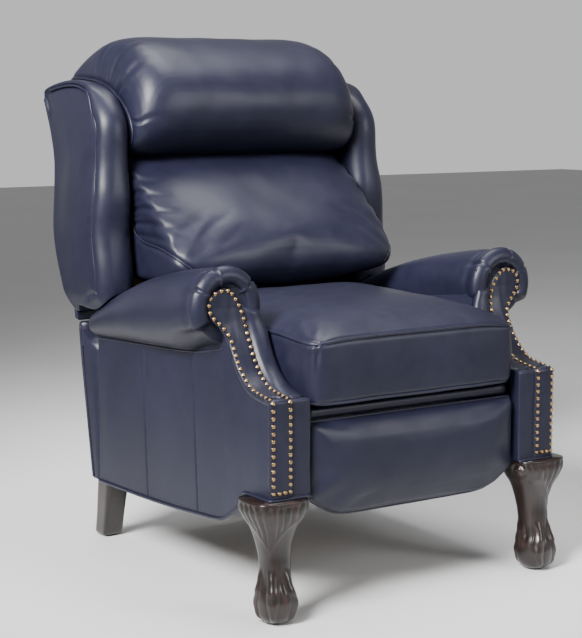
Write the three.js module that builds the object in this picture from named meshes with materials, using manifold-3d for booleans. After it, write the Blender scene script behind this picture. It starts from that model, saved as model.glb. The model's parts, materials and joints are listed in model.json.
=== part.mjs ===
// Wing-back recliner armchair: scroll arms, cabriole front legs, a seat that rides on swing links,
// a back that tips on the seat, and a footrest on lazy-tong links.
// Millimetres, +Z up. The chair faces -Y and is symmetric about X = 0. "Left" is the sitter's left, +X.
import * as THREE from 'three';
import { mergeVertices } from 'three/addons/utils/BufferGeometryUtils.js';
import Module from 'manifold-3d';

const wasm = await Module();
wasm.setup();

// ---------- driving dimensions ----------
const GAP = 0.3; // clearance kept wherever two pieces touch
const CENTRE_Y = 61; // middle of the whole depth, moved onto the origin at the end

const POST_OUTER_X = 360; // outer face of the arm posts and sides
const POST_INNER_X = 267; // inner face of the arm posts
const FRONT_Y = -400; // front face of posts, cushion and footrest
const SIDE_REAR_Y = 303; // rear edge of the side panels
const SKIRT_Z = 149; // lower edge of the side panels
const POST_BASE_Z = 244; // underside of the arm posts, on top of the front legs
const POST_TOP_Z = 436; // sharp corner at the top of each post
const SCROLL_Y = -236; // front face of the rolled arm
const FLOOR_PAD = 4; // thickness of the glides under the feet

const CUSHION_HALF_X = 259;
const CUSHION_BASE_Z = 413;
const CUSHION_TOP_Z = 603;
const BACK_HALF_X = 298; // headrest and lumbar half width, between the wings

const PLATE = 3; // thickness of the steel plates and links
const LINK_HALF_WIDTH = 9;
const PIN_RADIUS = 4;
const PIN_HOLE_RADIUS = 4.6;
const PIN_SIDES = 10;

const SEAT_PLATE_X = 232; // inner face of the seat plates
const SWING_X = 250; // inner face of the swing links
const MOUNT_PLATE_X = POST_INNER_X - PLATE - GAP; // inner face of the base mount plates
const FALLING_LINK_X = SEAT_PLATE_X + PLATE + 0.6; // plane of the links that slope down to the front
const RISING_LINK_X = FALLING_LINK_X + PLATE + 0.6; // plane of the links that slope up to the front

const SWING_LENGTH = 120;
const SWING_LEAN = THREE.MathUtils.degToRad(30); // rearward lean of the swing links at rest
const FRONT_SWING_FOOT = [-100, 200]; // y, z of the front swing links' lower pivot
const REAR_SWING_FOOT = [130, 200];
const BACK_PIVOT = [290, 500]; // y, z of the back's hinge on the seat

const TONG_PIVOT = [-250, 300]; // y, z of the lazy tongs' fixed apex on the seat plates
const TONG_HALF = 92; // half length of a full tong link
const TONG_CLOSED = THREE.MathUtils.degToRad(80); // link angle off the tongs' line when closed
const TONG_RISE = THREE.MathUtils.degToRad(8); // upward tilt of the line that the tongs extend along

const LEATHER = { color: 0x2b3148, roughness: 0.42, metalness: 0 };
const WALNUT = { color: 0x2d1a14, roughness: 0.38, metalness: 0 };
const PLYWOOD = { color: 0xb08a5a, roughness: 0.7, metalness: 0 };
const STEEL = { color: 0x3a3c40, roughness: 0.45, metalness: 0.9 };
const BRASS = { color: 0x8a6a3c, roughness: 0.35, metalness: 0.95 };
const CLOTH = { color: 0x1b1b1e, roughness: 0.9, metalness: 0 };
const NYLON = { color: 0x26221f, roughness: 0.6, metalness: 0 };

// ---------- geometry helpers ----------
const AXIS_X = new THREE.Vector3(1, 0, 0);
const AXIS_Y = new THREE.Vector3(0, 1, 0);
const AXIS_Z = new THREE.Vector3(0, 0, 1);
const ALONG_X = new THREE.Matrix4().makeBasis(AXIS_Y, AXIS_Z, AXIS_X);
const ALONG_Y = new THREE.Matrix4().makeBasis(AXIS_X, AXIS_Z, AXIS_Y.clone().negate());

function shapeOf(outline) {
  return new THREE.Shape(outline.map(([a, b]) => new THREE.Vector2(a, b)));
}

function circlePoints([a, b], radius, sides) {
  const points = [];
  for (let i = 0; i < sides; i += 1) {
    const angle = (2 * Math.PI * i) / sides;
    points.push([a + radius * Math.cos(angle), b + radius * Math.sin(angle)]);
  }
  return points;
}

// A (y, z) outline with round holes, pushed along X from x0 to x1.
function extrudeX(outline, x0, x1, holes = []) {
  const shape = shapeOf(outline);
  for (const hole of holes) {
    shape.holes.push(new THREE.Path(hole.map(([a, b]) => new THREE.Vector2(a, b))));
  }
  const geometry = new THREE.ExtrudeGeometry(shape, { depth: x1 - x0, bevelEnabled: false });
  return geometry.applyMatrix4(ALONG_X).translate(x0, 0, 0);
}

// An (x, z) outline pushed along Y from y0 to y1.
function extrudeY(outline, y0, y1) {
  const geometry = new THREE.ExtrudeGeometry(shapeOf(outline), { depth: y1 - y0, bevelEnabled: false });
  return geometry.applyMatrix4(ALONG_Y).translate(0, y1, 0);
}

function box(x0, x1, y0, y1, z0, z1) {
  const geometry = new THREE.BoxGeometry(x1 - x0, y1 - y0, z1 - z0);
  return geometry.translate((x0 + x1) / 2, (y0 + y1) / 2, (z0 + z1) / 2);
}

// A closed skin through equal-length rings of points, capped at both ends.
function loft(rings) {
  const count = rings[0].length;
  const points = rings.flat();
  const index = [];
  for (let ring = 0; ring + 1 < rings.length; ring += 1) {
    for (let i = 0; i < count; i += 1) {
      const a = ring * count + i;
      const b = ring * count + ((i + 1) % count);
      index.push(a, b, b + count, a, b + count, a + count);
    }
  }
  for (const [ring, flip] of [[0, true], [rings.length - 1, false]]) {
    const centre = points.length;
    const middle = new THREE.Vector3();
    rings[ring].forEach((point) => middle.addScaledVector(point, 1 / count));
    points.push(middle);
    for (let i = 0; i < count; i += 1) {
      const a = ring * count + i;
      const b = ring * count + ((i + 1) % count);
      index.push(centre, flip ? b : a, flip ? a : b);
    }
  }
  const geometry = new THREE.BufferGeometry().setFromPoints(points);
  geometry.setIndex(index);
  return signedVolume(geometry) < 0 ? turnedInsideOut(geometry) : geometry;
}

function signedVolume(geometry) {
  const place = geometry.attributes.position;
  const corners = [new THREE.Vector3(), new THREE.Vector3(), new THREE.Vector3()];
  let volume = 0;
  for (let i = 0; i < geometry.index.count; i += 3) {
    corners.forEach((corner, k) => corner.fromBufferAttribute(place, geometry.index.getX(i + k)));
    volume += corners[0].dot(corners[1].clone().cross(corners[2])) / 6;
  }
  return volume;
}

function turnedInsideOut(geometry) {
  const index = Array.from(geometry.index.array);
  for (let i = 0; i < index.length; i += 3) {
    [index[i + 1], index[i + 2]] = [index[i + 2], index[i + 1]];
  }
  geometry.setIndex(index);
  return geometry;
}

function welded(geometry) {
  const bare = geometry.clone();
  bare.deleteAttribute('normal');
  bare.deleteAttribute('uv');
  return mergeVertices(bare, 1e-3);
}

function mirrored(geometry) {
  return turnedInsideOut(welded(geometry).scale(-1, 1, 1));
}

function toSolid(geometry) {
  const bare = welded(geometry);
  return new wasm.Manifold(new wasm.Mesh({
    numProp: 3,
    vertProperties: new Float32Array(bare.attributes.position.array),
    triVerts: new Uint32Array(bare.index.array),
  }));
}

function fromSolid(solid) {
  const mesh = solid.getMesh();
  const geometry = new THREE.BufferGeometry();
  geometry.setAttribute('position', new THREE.BufferAttribute(new Float32Array(mesh.vertProperties), 3));
  geometry.setIndex(Array.from(mesh.triVerts));
  return geometry;
}

function joined(first, ...others) {
  return fromSolid(others.reduce((whole, other) => whole.add(toSolid(other)), toSolid(first)));
}

function cut(first, ...others) {
  return fromSolid(others.reduce((whole, other) => whole.subtract(toSolid(other)), toSolid(first)));
}

// Straight-line reading of a table of [key, value] rows.
function readTable(table, key) {
  let row = 0;
  while (row + 2 < table.length && key > table[row + 1][0]) {
    row += 1;
  }
  const [key0, value0] = table[row];
  const [key1, value1] = table[row + 1];
  return THREE.MathUtils.mapLinear(key, key0, key1, value0, value1);
}

function shifted([y, z], distance, angle) {
  return [y + distance * Math.cos(angle), z + distance * Math.sin(angle)];
}

// ---------- assembly ----------
const recliner = new THREE.Group();

function add(name, geometry, finish) {
  const mesh = new THREE.Mesh(geometry, new THREE.MeshStandardMaterial(finish));
  mesh.name = name;
  recliner.add(mesh);
}

// The geometry is the +X side's; its mirror image is the other side's.
function addPair(name, geometry, finish) {
  add(`${name}_left`, geometry, finish);
  add(`${name}_right`, mirrored(geometry), finish);
}

// ---------- arms ----------
// Centre height, centre x and radius of the arm roll at each y, front to rear.
const ROLL_CENTRE_Z = [[SCROLL_Y, 603], [-76, 594], [48, 574], [158, 547], [213, 531], [SIDE_REAR_Y, 469]];
const ROLL_CENTRE_X = [[SCROLL_Y, 355], [48, 349], [158, 343], [SIDE_REAR_Y, 336]];
const ROLL_RADIUS = [[SCROLL_Y, 77], [-76, 66], [48, 60], [158, 53], [213, 47], [SIDE_REAR_Y, 23]];
const ROLL_SIDES = 20;

function rollRing(y) {
  const centre = [readTable(ROLL_CENTRE_X, y), readTable(ROLL_CENTRE_Z, y)];
  const ring = circlePoints(centre, readTable(ROLL_RADIUS, y), ROLL_SIDES);
  return ring.map(([x, z]) => new THREE.Vector3(x, y, z));
}

function armRoll() {
  const stations = [SCROLL_Y, -160, -76, 48, 158, 213, 262, SIDE_REAR_Y];
  return loft(stations.map(rollRing));
}

// The front edge of the arm, from the scroll down to the sharp corner on top of the post.
const SWOOP = new THREE.SplineCurve([
  new THREE.Vector2(SCROLL_Y, 549),
  new THREE.Vector2(-262, 512),
  new THREE.Vector2(-290, 479),
  new THREE.Vector2(-334, 448),
  new THREE.Vector2(FRONT_Y, POST_TOP_Z),
]);
const SWOOP_STEPS = 10;
const SWOOP_POINTS = SWOOP.getSpacedPoints(SWOOP_STEPS).map((point) => [point.x, point.y]);

// The scalloped lower edge of the side, from the rear to the post.
const SKIRT_EDGE = [[SIDE_REAR_Y - 6, SKIRT_Z], [80, 153], [-131, 164], [-220, 172], [-274, 204], [-312, POST_BASE_Z]];

function armSideOutline() {
  const underRoll = ROLL_CENTRE_Z.slice().reverse().map(([y, z]) => [y, z]);
  return [
    ...underRoll,
    ...SWOOP_POINTS,
    [FRONT_Y, POST_BASE_Z],
    ...SKIRT_EDGE.slice().reverse(),
  ];
}

const ARM_PANEL_THICKNESS = 16;
const ARM_PANEL = { y0: -370, y1: 288, z0: 255, z1: 420 };

function armPanelOutline(extra) {
  const { y0, y1, z0, z1 } = ARM_PANEL;
  return [
    [y0 - extra, z0 - extra],
    [-330, z0 - extra],
    [-215, 190 - extra],
    [y1 + extra, 175 - extra],
    [y1 + extra, z1 + extra],
    [y0 - extra, z1 + extra],
  ];
}

function armCover() {
  const side = extrudeX(armSideOutline(), POST_INNER_X, POST_OUTER_X);
  const reach = POST_INNER_X + ARM_PANEL_THICKNESS + GAP;
  const rebate = extrudeX(armPanelOutline(GAP), POST_INNER_X - 1, reach);
  return cut(joined(side, armRoll()), rebate);
}

function armPanel() {
  return extrudeX(armPanelOutline(0), POST_INNER_X, POST_INNER_X + ARM_PANEL_THICKNESS);
}

// The padded band down the front of the arm: a strip with a round head on the scroll.
const FACING_X = [309, 361.5];
const FACING_THICKNESS = 3;
const SCROLL_CENTRE = [356, 599]; // x, z
const SCROLL_DISC_RADIUS = 49;

// The swoop and the post's front, moved outwards by a distance.
function facingEdge(distance) {
  const route = [[SCROLL_Y, SCROLL_CENTRE[1]], ...SWOOP_POINTS, [FRONT_Y, POST_BASE_Z + 2]];
  const normals = route.slice(1).map(([y, z], i) => {
    const [y0, z0] = route[i];
    const length = Math.hypot(y - y0, z - z0);
    return [(z - z0) / length, (y0 - y) / length];
  });
  return route.map(([y, z], i) => {
    const before = normals[Math.max(i - 1, 0)];
    const after = normals[Math.min(i, normals.length - 1)];
    const share = 1 + before[0] * after[0] + before[1] * after[1];
    const scale = distance / share;
    return [y + (before[0] + after[0]) * scale, z + (before[1] + after[1]) * scale];
  });
}

function armFacing() {
  const inner = facingEdge(GAP);
  const outer = facingEdge(GAP + FACING_THICKNESS);
  const strip = extrudeX([...outer, ...inner.reverse()], FACING_X[0], FACING_X[1]);
  const discFront = SCROLL_Y - GAP - FACING_THICKNESS;
  const disc = extrudeY(circlePoints(SCROLL_CENTRE, SCROLL_DISC_RADIUS, 20), discFront, SCROLL_Y - GAP);
  return joined(strip, disc);
}

// ---------- nail trim ----------
// The line of decorative nails on each facing: two rows up the front, round the scroll, across the foot.
const NAIL_WIDTH = 9.6;
const NAIL_HEIGHT = 3.2;
const NAIL_ROWS_X = [315, 355.5];
const NAIL_CIRCLE_RADIUS = 43;
const NAIL_FOOT_Z = POST_BASE_Z + 16;

function nailTrim() {
  const seat = 2 * GAP + FACING_THICKNESS;
  const inner = facingEdge(seat);
  const outer = facingEdge(seat + NAIL_HEIGHT);
  const band = [...outer, ...inner.reverse()];
  const half = NAIL_WIDTH / 2;
  const rows = NAIL_ROWS_X.map((x) => extrudeX(band, x - half, x + half));
  const front = SCROLL_Y - seat - NAIL_HEIGHT;
  const round = (radius, y0, y1) => extrudeY(circlePoints(SCROLL_CENTRE, radius, 20), y0, y1);
  const ring = cut(
    round(NAIL_CIRCLE_RADIUS + half, front, SCROLL_Y - seat),
    round(NAIL_CIRCLE_RADIUS - half, front - 1, SCROLL_Y),
  );
  const footY = FRONT_Y - seat;
  const foot = box(NAIL_ROWS_X[0], NAIL_ROWS_X[1], footY - NAIL_HEIGHT, footY, NAIL_FOOT_Z - half, NAIL_FOOT_Z + half);
  return joined(ring, ...rows, foot);
}

// ---------- legs and base ----------
// Height, centre x, centre y, half width and half depth of the cabriole leg.
const CABRIOLE = [
  [FLOOR_PAD + GAP, 335, -382, 27, 27],
  [14, 335, -382, 42, 42],
  [32, 335, -382, 48, 48],
  [52, 335, -382, 45, 45],
  [72, 334, -381, 38, 38],
  [100, 333, -378, 36, 35],
  [140, 332, -374, 39, 38],
  [175, 332, -368, 47, 46],
  [205, 332, -366, 60, 56],
  [228, 333, -370, 69, 57],
  [POST_BASE_Z - 1, 333, -370, 68, 55],
];
const LEG_SIDES = 16;
const GLIDE_RADIUS = 16;

function roundedRing(centreX, centreY, halfX, halfY, z) {
  const ring = [];
  for (let i = 0; i < LEG_SIDES; i += 1) {
    const angle = (2 * Math.PI * i) / LEG_SIDES;
    ring.push(new THREE.Vector3(centreX + halfX * Math.cos(angle), centreY + halfY * Math.sin(angle), z));
  }
  return ring;
}

function frontLeg() {
  return loft(CABRIOLE.map(([z, x, y, halfX, halfY]) => roundedRing(x, y, halfX, halfY, z)));
}

// Height, centre x, centre y and half width of the square rear sabre leg.
const SABRE = [[FLOOR_PAD + GAP, 301, 374, 26], [50, 304, 360, 26], [100, 308, 344, 27], [SKIRT_Z - 1, 310, 331, 28]];

function rearLeg() {
  return loft(SABRE.map(([z, x, y, half]) => [
    new THREE.Vector3(x - half, y - half, z),
    new THREE.Vector3(x + half, y - half, z),
    new THREE.Vector3(x + half, y + half, z),
    new THREE.Vector3(x - half, y + half, z),
  ]));
}

// Nylon disc under a leg, given the leg's lowest section.
function glide([, x, y]) {
  const pad = new THREE.CylinderGeometry(GLIDE_RADIUS, GLIDE_RADIUS, FLOOR_PAD, 12);
  return pad.rotateX(Math.PI / 2).translate(x, y, FLOOR_PAD / 2);
}

// y of the outside back's rear surface at each height.
const REAR_LINE = [[SKIRT_Z, 343], [276, 365], [435, 392], [533, 401], [620, 450], [682, 474], [764, 476],
  [821, 483], [923, 508], [1009, 546]];
const BACK_PANEL_THICKNESS = 14;
const BASE_BACK_TOP_Z = 503;

function rearSlab(heights, front) {
  const rear = heights.map((z) => [readTable(REAR_LINE, z), z]);
  return [...rear, ...rear.map(([y, z]) => [y - front, z]).reverse()];
}

// Thin leaning panel with a solid cheek behind each arm.
function baseBackPanel() {
  const halfX = POST_OUTER_X - 5;
  const heights = [SKIRT_Z, 276, 435, BASE_BACK_TOP_Z];
  const panel = extrudeX(rearSlab(heights, BACK_PANEL_THICKNESS), -halfX, halfX);
  const frontY = SIDE_REAR_Y + GAP;
  const cheekOutline = [
    [frontY, SKIRT_Z],
    [335, SKIRT_Z],
    [380, 435],
    [385, 490],
    [frontY + 12, 468],
    [frontY, 462],
  ];
  const cheek = extrudeX(cheekOutline, POST_INNER_X + 1, halfX);
  return joined(panel, cheek, mirrored(cheek));
}

function rail(y0, y1, z0, z1) {
  const halfX = POST_INNER_X - GAP;
  return box(-halfX, halfX, y0, y1, z0, z1);
}

// ---------- recline mechanism ----------
function disc(centre, radius, x0, x1) {
  return extrudeX(circlePoints(centre, radius, PIN_SIDES), x0, x1);
}

function linkOutline([y0, z0], [y1, z1], halfWidth) {
  const along = Math.atan2(z1 - z0, y1 - y0);
  const outline = [];
  const steps = 5;
  for (let i = 0; i <= steps; i += 1) {
    outline.push(shifted([y1, z1], halfWidth, along - Math.PI / 2 + (Math.PI * i) / steps));
  }
  for (let i = 0; i <= steps; i += 1) {
    outline.push(shifted([y0, z0], halfWidth, along + Math.PI / 2 + (Math.PI * i) / steps));
  }
  return outline;
}

// A flat link from one pivot to another, with clearance holes and staked pins.
function link(from, to, x0, holes, pins, pinX0 = x0 - PLATE - 0.9) {
  const outline = linkOutline(from, to, LINK_HALF_WIDTH);
  const rings = holes.map((hole) => circlePoints(hole, PIN_HOLE_RADIUS, PIN_SIDES));
  const bar = extrudeX(outline, x0, x0 + PLATE, rings);
  if (pins.length === 0) {
    return bar;
  }
  return joined(bar, ...pins.map((pin) => disc(pin, PIN_RADIUS, pinX0, x0 + PLATE / 2)));
}

function swingTop(foot) {
  return shifted(foot, SWING_LENGTH, Math.PI / 2 - SWING_LEAN);
}

const FRONT_SWING_TOP = swingTop(FRONT_SWING_FOOT);
const REAR_SWING_TOP = swingTop(REAR_SWING_FOOT);

function swingLink(foot, top) {
  return link(foot, top, SWING_X, [foot, top], []);
}

const TUBE_RADIUS = 10;

// Both rear swing links, welded to the tube that keeps them in step.
function rearSwingFrame() {
  const middle = [
    (REAR_SWING_FOOT[0] + REAR_SWING_TOP[0]) / 2,
    (REAR_SWING_FOOT[1] + REAR_SWING_TOP[1]) / 2,
  ];
  const reach = SWING_X + PLATE / 2;
  const tube = extrudeX(circlePoints(middle, TUBE_RADIUS, 14), -reach, reach);
  const leftLink = swingLink(REAR_SWING_FOOT, REAR_SWING_TOP);
  return joined(tube, leftLink, mirrored(leftLink));
}

// Steel plate on the arm panel, with a stud for each swing link.
function mountPlate() {
  const plate = box(MOUNT_PLATE_X, MOUNT_PLATE_X + PLATE, FRONT_SWING_FOOT[0] - 40, REAR_SWING_FOOT[0] + 40, 182, 238);
  const studs = [FRONT_SWING_FOOT, REAR_SWING_FOOT].map((foot) =>
    disc(foot, PIN_RADIUS, SWING_X - 1, MOUNT_PLATE_X + PLATE / 2));
  return joined(plate, ...studs);
}

// Bent side plate of the seat: level under the cushion, rising at the rear to the back's hinge.
function seatPlate() {
  const [pivotY, pivotZ] = BACK_PIVOT;
  const outline = [
    [-267, 284],
    [212, 284],
    [248, 318],
    [pivotY + 17, pivotZ - 8],
    [pivotY + 12, pivotZ + 12],
    [pivotY - 5, pivotZ + 17],
    [pivotY - 17, pivotZ + 5],
    [205, 352],
    [-235, 352],
    [-267, 318],
  ];
  const plate = extrudeX(outline, SEAT_PLATE_X, SEAT_PLATE_X + PLATE);
  const root = SEAT_PLATE_X + PLATE / 2;
  return joined(
    plate,
    disc(TONG_PIVOT, PIN_RADIUS, root, RISING_LINK_X + PLATE + 1),
    disc(FRONT_SWING_TOP, PIN_RADIUS, root, SWING_X + PLATE + 1),
    disc(REAR_SWING_TOP, PIN_RADIUS, root, SWING_X + PLATE + 1),
    disc(BACK_PIVOT, PIN_RADIUS, root, BACK_BRACKET_X + PLATE + 1),
  );
}

// ---------- seat ----------
const RAIL_TOP_Z = 388;
const SEAT_RAIL_X = [211, SEAT_PLATE_X - GAP];
const SEAT_RAIL_Y = [-245, 168];

function sideRail() {
  return box(SEAT_RAIL_X[0], SEAT_RAIL_X[1], SEAT_RAIL_Y[0], SEAT_RAIL_Y[1], 310, RAIL_TOP_Z);
}

function crossRail(y0, y1) {
  const halfX = SEAT_RAIL_X[0] - GAP;
  return box(-halfX, halfX, y0, y1, 325, RAIL_TOP_Z);
}

// Sinuous springs: flat zigzag wires from the front rail to the rear rail, tied across by two straight wires.
function springs() {
  const wire = 3;
  const swing = 20;
  const waves = 10;
  const [y0, y1] = [SEAT_RAIL_Y[0] + 6, SEAT_RAIL_Y[1] - 6];
  const z = RAIL_TOP_Z + GAP;
  const rows = [];
  for (const x of [-150, -75, 0, 75, 150]) {
    const near = [];
    const far = [];
    for (let i = 0; i <= waves; i += 1) {
      const y = y0 + ((y1 - y0) * i) / waves;
      const side = i % 2 === 0 ? -swing : swing;
      near.push([x + side - wire, y]);
      far.push([x + side + wire, y]);
    }
    const outline = shapeOf([...near, ...far.reverse()]);
    const zigzag = new THREE.ExtrudeGeometry(outline, { depth: wire, bevelEnabled: false });
    rows.push(zigzag.translate(0, 0, z));
  }
  for (const y of [-115, 40]) {
    rows.push(box(-165, 165, y - wire, y + wire, z + 0.5, z + wire - 0.5));
  }
  return joined(...rows);
}

function seatDeck() {
  const halfX = SEAT_RAIL_X[1];
  const z = RAIL_TOP_Z + 4;
  return box(-halfX, halfX, SEAT_RAIL_Y[0], SEAT_RAIL_Y[1], z, z + 14);
}

function seatCushion() {
  const y0 = FRONT_Y + 3;
  const outline = [
    [y0 + 4, CUSHION_BASE_Z],
    [172, CUSHION_BASE_Z],
    [176, 560],
    [150, 590],
    [60, 600],
    [-100, CUSHION_TOP_Z],
    [-250, 596],
    [-340, 578],
    [y0 + 8, 550],
    [y0 - 2, 480],
  ];
  return extrudeX(outline, -CUSHION_HALF_X, CUSHION_HALF_X);
}

// ---------- footrest ----------
const BOARD = { y0: -370, y1: -358, z0: 240, z1: 374 };
const PANEL_TOP_Z = 384;

// Serpentine lower edge: high at both ends, dropped along the middle.
function footrestOutline() {
  const end = CUSHION_HALF_X + 2;
  const right = [[end, PANEL_TOP_Z], [end, 234], [236, 217], [205, 200], [165, 192]];
  const left = right.map(([x, z]) => [-x, z]).reverse();
  return [...right, ...left];
}

function footrestPad() {
  const flat = footrestOutline().map(([x, z]) => new THREE.Vector3(x, BOARD.y0 - GAP, z));
  const inset = (x, z, amount) => [x * (1 - amount / CUSHION_HALF_X), z + (z > 300 ? -amount : amount)];
  const ring = (y, amount) => footrestOutline().map(([x, z]) => {
    const [insetX, insetZ] = inset(x, z, amount);
    return new THREE.Vector3(insetX, y, insetZ);
  });
  return loft([flat, ring(-391, 1), ring(FRONT_Y - 1, 12)]);
}

function footrestBoard() {
  return box(-236, 236, BOARD.y0, BOARD.y1, BOARD.z0, BOARD.z1);
}

// Lazy-tong pivots at rest, in (y, z).
const FORWARD = Math.PI - TONG_RISE;
const UPWARD = FORWARD - Math.PI / 2;

function tongPoint(steps, side) {
  const along = shifted(TONG_PIVOT, steps * TONG_HALF * Math.cos(TONG_CLOSED), FORWARD);
  return shifted(along, side * TONG_HALF * Math.sin(TONG_CLOSED), UPWARD);
}

const TONG = {
  upperNear: tongPoint(1, 1),
  lowerNear: tongPoint(1, -1),
  middle: tongPoint(2, 0),
  upperFar: tongPoint(3, 1),
  lowerFar: tongPoint(3, -1),
  tip: tongPoint(4, 0),
};

function rising(from, to, holes, pins) {
  return link(from, to, RISING_LINK_X, holes, pins);
}

function falling(from, to, holes) {
  return link(from, to, FALLING_LINK_X, holes, []);
}

function footrestBracket() {
  const [tipY, tipZ] = TONG.tip;
  const rearY = BOARD.y1 + GAP;
  const outline = [
    [rearY, tipZ - 45],
    [rearY + 6, tipZ - 45],
    [tipY + 4, tipZ - 10],
    [tipY + 10, tipZ],
    [tipY + 4, tipZ + 10],
    [rearY + 6, tipZ + 45],
    [rearY, tipZ + 45],
  ];
  const plate = extrudeX(outline, SEAT_PLATE_X, SEAT_PLATE_X + PLATE);
  const flange = box(SEAT_PLATE_X - 20, SEAT_PLATE_X + 1, rearY, rearY + PLATE, tipZ - 45, tipZ + 45);
  const stud = disc(TONG.tip, PIN_RADIUS, SEAT_PLATE_X + PLATE / 2, RISING_LINK_X + PLATE + 1);
  return joined(plate, flange, stud);
}

// ---------- back ----------
const BACK_BOARD_HALF_X = 240;
const BACK_BOARD_THICKNESS = 20;
const BACK_BRACKET_X = BACK_BOARD_HALF_X + GAP;
const BACK_BOARD_FOOT = [352, 552]; // y, z of the board's lower front edge
const BACK_BOARD_HEAD = [492, 1000];

function boardFrontY(z) {
  return readTable([[BACK_BOARD_FOOT[1], BACK_BOARD_FOOT[0]], [BACK_BOARD_HEAD[1], BACK_BOARD_HEAD[0]]], z);
}

function backBoard() {
  const outline = [
    BACK_BOARD_FOOT,
    [BACK_BOARD_FOOT[0] + BACK_BOARD_THICKNESS, BACK_BOARD_FOOT[1]],
    [BACK_BOARD_HEAD[0] + BACK_BOARD_THICKNESS, BACK_BOARD_HEAD[1]],
    BACK_BOARD_HEAD,
  ];
  return extrudeX(outline, -BACK_BOARD_HALF_X, BACK_BOARD_HALF_X);
}

function backBracket() {
  const [y, z] = BACK_PIVOT;
  const outline = [
    [y - 14, z - 6],
    [y, z - 15],
    [y + 14, z - 6],
    [boardFrontY(570) + 16, 560],
    [boardFrontY(690) + 16, 690],
    [boardFrontY(690), 690],
    [boardFrontY(600), 600],
    [y - 12, z + 12],
  ];
  const hole = circlePoints(BACK_PIVOT, PIN_HOLE_RADIUS, PIN_SIDES);
  return extrudeX(outline, BACK_BRACKET_X, BACK_BRACKET_X + PLATE, [hole]);
}

function outsideBackPanel() {
  const heights = REAR_LINE.map(([z]) => z).filter((z) => z > BASE_BACK_TOP_Z);
  const halfX = 366;
  return extrudeX(rearSlab(heights, BACK_PANEL_THICKNESS), -halfX, halfX);
}

// Height, front y and outer x of the wing at that height.
const WING_FRONT = [[548, 372], [582, 250], [608, 158], [616, 182], [628, 200], [680, 227], [735, 227], [800, 224],
  [863, 238], [917, 238], [981, 243], [1020, 268], [1040, 300], [1046, 318]];
const WING_OUTER_X = [[548, 372], [582, 394], [735, 394], [800, 385], [863, 375], [1046, 372]];
const WING_REAR_TOP = [[1009, 546 - BACK_PANEL_THICKNESS - GAP], [1030, 452], [1046, 330]];
const WING_INNER_X = 300;

function wingRearY(z) {
  if (z > 1009) {
    return readTable(WING_REAR_TOP, z);
  }
  return readTable(REAR_LINE, z) - BACK_PANEL_THICKNESS - GAP;
}

function wingRing(z) {
  const front = readTable(WING_FRONT, z);
  const rear = wingRearY(z);
  const outer = readTable(WING_OUTER_X, z);
  const outerRear = Math.min(outer, 368);
  const depth = rear - front;
  const round = Math.min(24, depth * 0.3);
  const middleX = (WING_INNER_X + outer) / 2;
  return [
    [middleX, front],
    [outer - 8, front + round * 0.25],
    [outer, front + round],
    [(outer + outerRear) / 2, front + depth * 0.5],
    [outerRear, rear],
    [middleX, rear],
    [WING_INNER_X, rear],
    [WING_INNER_X, front + depth * 0.5],
    [WING_INNER_X, front + round],
    [WING_INNER_X + 10, front + round * 0.25],
  ].map(([x, y]) => new THREE.Vector3(x, y, z));
}

const WING_BOARD_X = [335, 347];
const WING_BOARD = [[310, 660], [440, 660], [452, 800], [500, 968], [310, 968]];

// Wing padding with a slot for its board. Its underside slopes back just above the arm roll.
function wingPad() {
  const levels = new Set([...WING_FRONT, ...REAR_LINE].map(([z]) => z).filter((z) => z >= WING_FRONT[0][0]));
  const body = loft([...levels].sort((a, b) => a - b).map(wingRing));
  const slotOutline = [[310 - GAP, 660 - GAP], [600, 660 - GAP], [600, 968 + GAP], [310 - GAP, 968 + GAP]];
  const slot = extrudeX(slotOutline, WING_BOARD_X[0] - GAP, WING_BOARD_X[1] + GAP);
  return cut(body, slot);
}

function wingBoard() {
  return extrudeX(WING_BOARD, WING_BOARD_X[0], WING_BOARD_X[1]);
}

// A (y, z) outline carried across the chair, drawn in towards its middle at both ends.
function crossPillow(outline, halfX, stations) {
  const middle = outline.reduce(([y, z], [oy, oz]) => [y + oy / outline.length, z + oz / outline.length], [0, 0]);
  const rings = stations.map(([share, scale]) => outline.map(([y, z]) =>
    new THREE.Vector3(halfX * share, middle[0] + (y - middle[0]) * scale, middle[1] + (z - middle[1]) * scale)));
  return loft(rings);
}

function headrestCushion() {
  const outline = [
    [boardFrontY(874) - 4, 874],
    [300, 872],
    [238, 893],
    [202, 938],
    [194, 986],
    [210, 1040],
    [255, 1092],
    [318, 1130],
    [385, 1145],
    [455, 1136],
    [515, 1103],
    [550, 1058],
    [552, 1014],
    [487, 1010],
    [487, 1002],
  ];
  return crossPillow(outline, BACK_HALF_X, [[-1, 0.9], [-0.88, 1], [0.88, 1], [1, 0.9]]);
}

function lumbarCushion() {
  const outline = [
    [boardFrontY(866) - 4, 866],
    [320, 866],
    [255, 846],
    [185, 806],
    [110, 752],
    [62, 704],
    [46, 668],
    [60, 636],
    [95, 616],
    [boardFrontY(616) - 4, 612],
  ];
  return crossPillow(outline, BACK_HALF_X - 4, [[-1, 0.93], [-0.88, 1], [0.88, 1], [1, 0.93]]);
}

// ---------- the chair ----------
addPair('front_leg', frontLeg(), WALNUT);
addPair('rear_leg', rearLeg(), WALNUT);
addPair('front_glide', glide(CABRIOLE[0]), NYLON);
addPair('rear_glide', glide(SABRE[0]), NYLON);
addPair('arm_panel', armPanel(), PLYWOOD);
addPair('arm_cover', armCover(), LEATHER);
addPair('arm_facing', armFacing(), LEATHER);
addPair('nail_trim', nailTrim(), BRASS);
add('front_rail', rail(-195, -175, 195, 240), PLYWOOD);
add('rear_rail', rail(255, 277, 180, 240), PLYWOOD);
add('base_back_panel', baseBackPanel(), LEATHER);
addPair('mount_plate', mountPlate(), STEEL);

add('rear_swing_frame', rearSwingFrame(), STEEL);
addPair('front_swing_link', swingLink(FRONT_SWING_FOOT, FRONT_SWING_TOP), STEEL);

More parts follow.
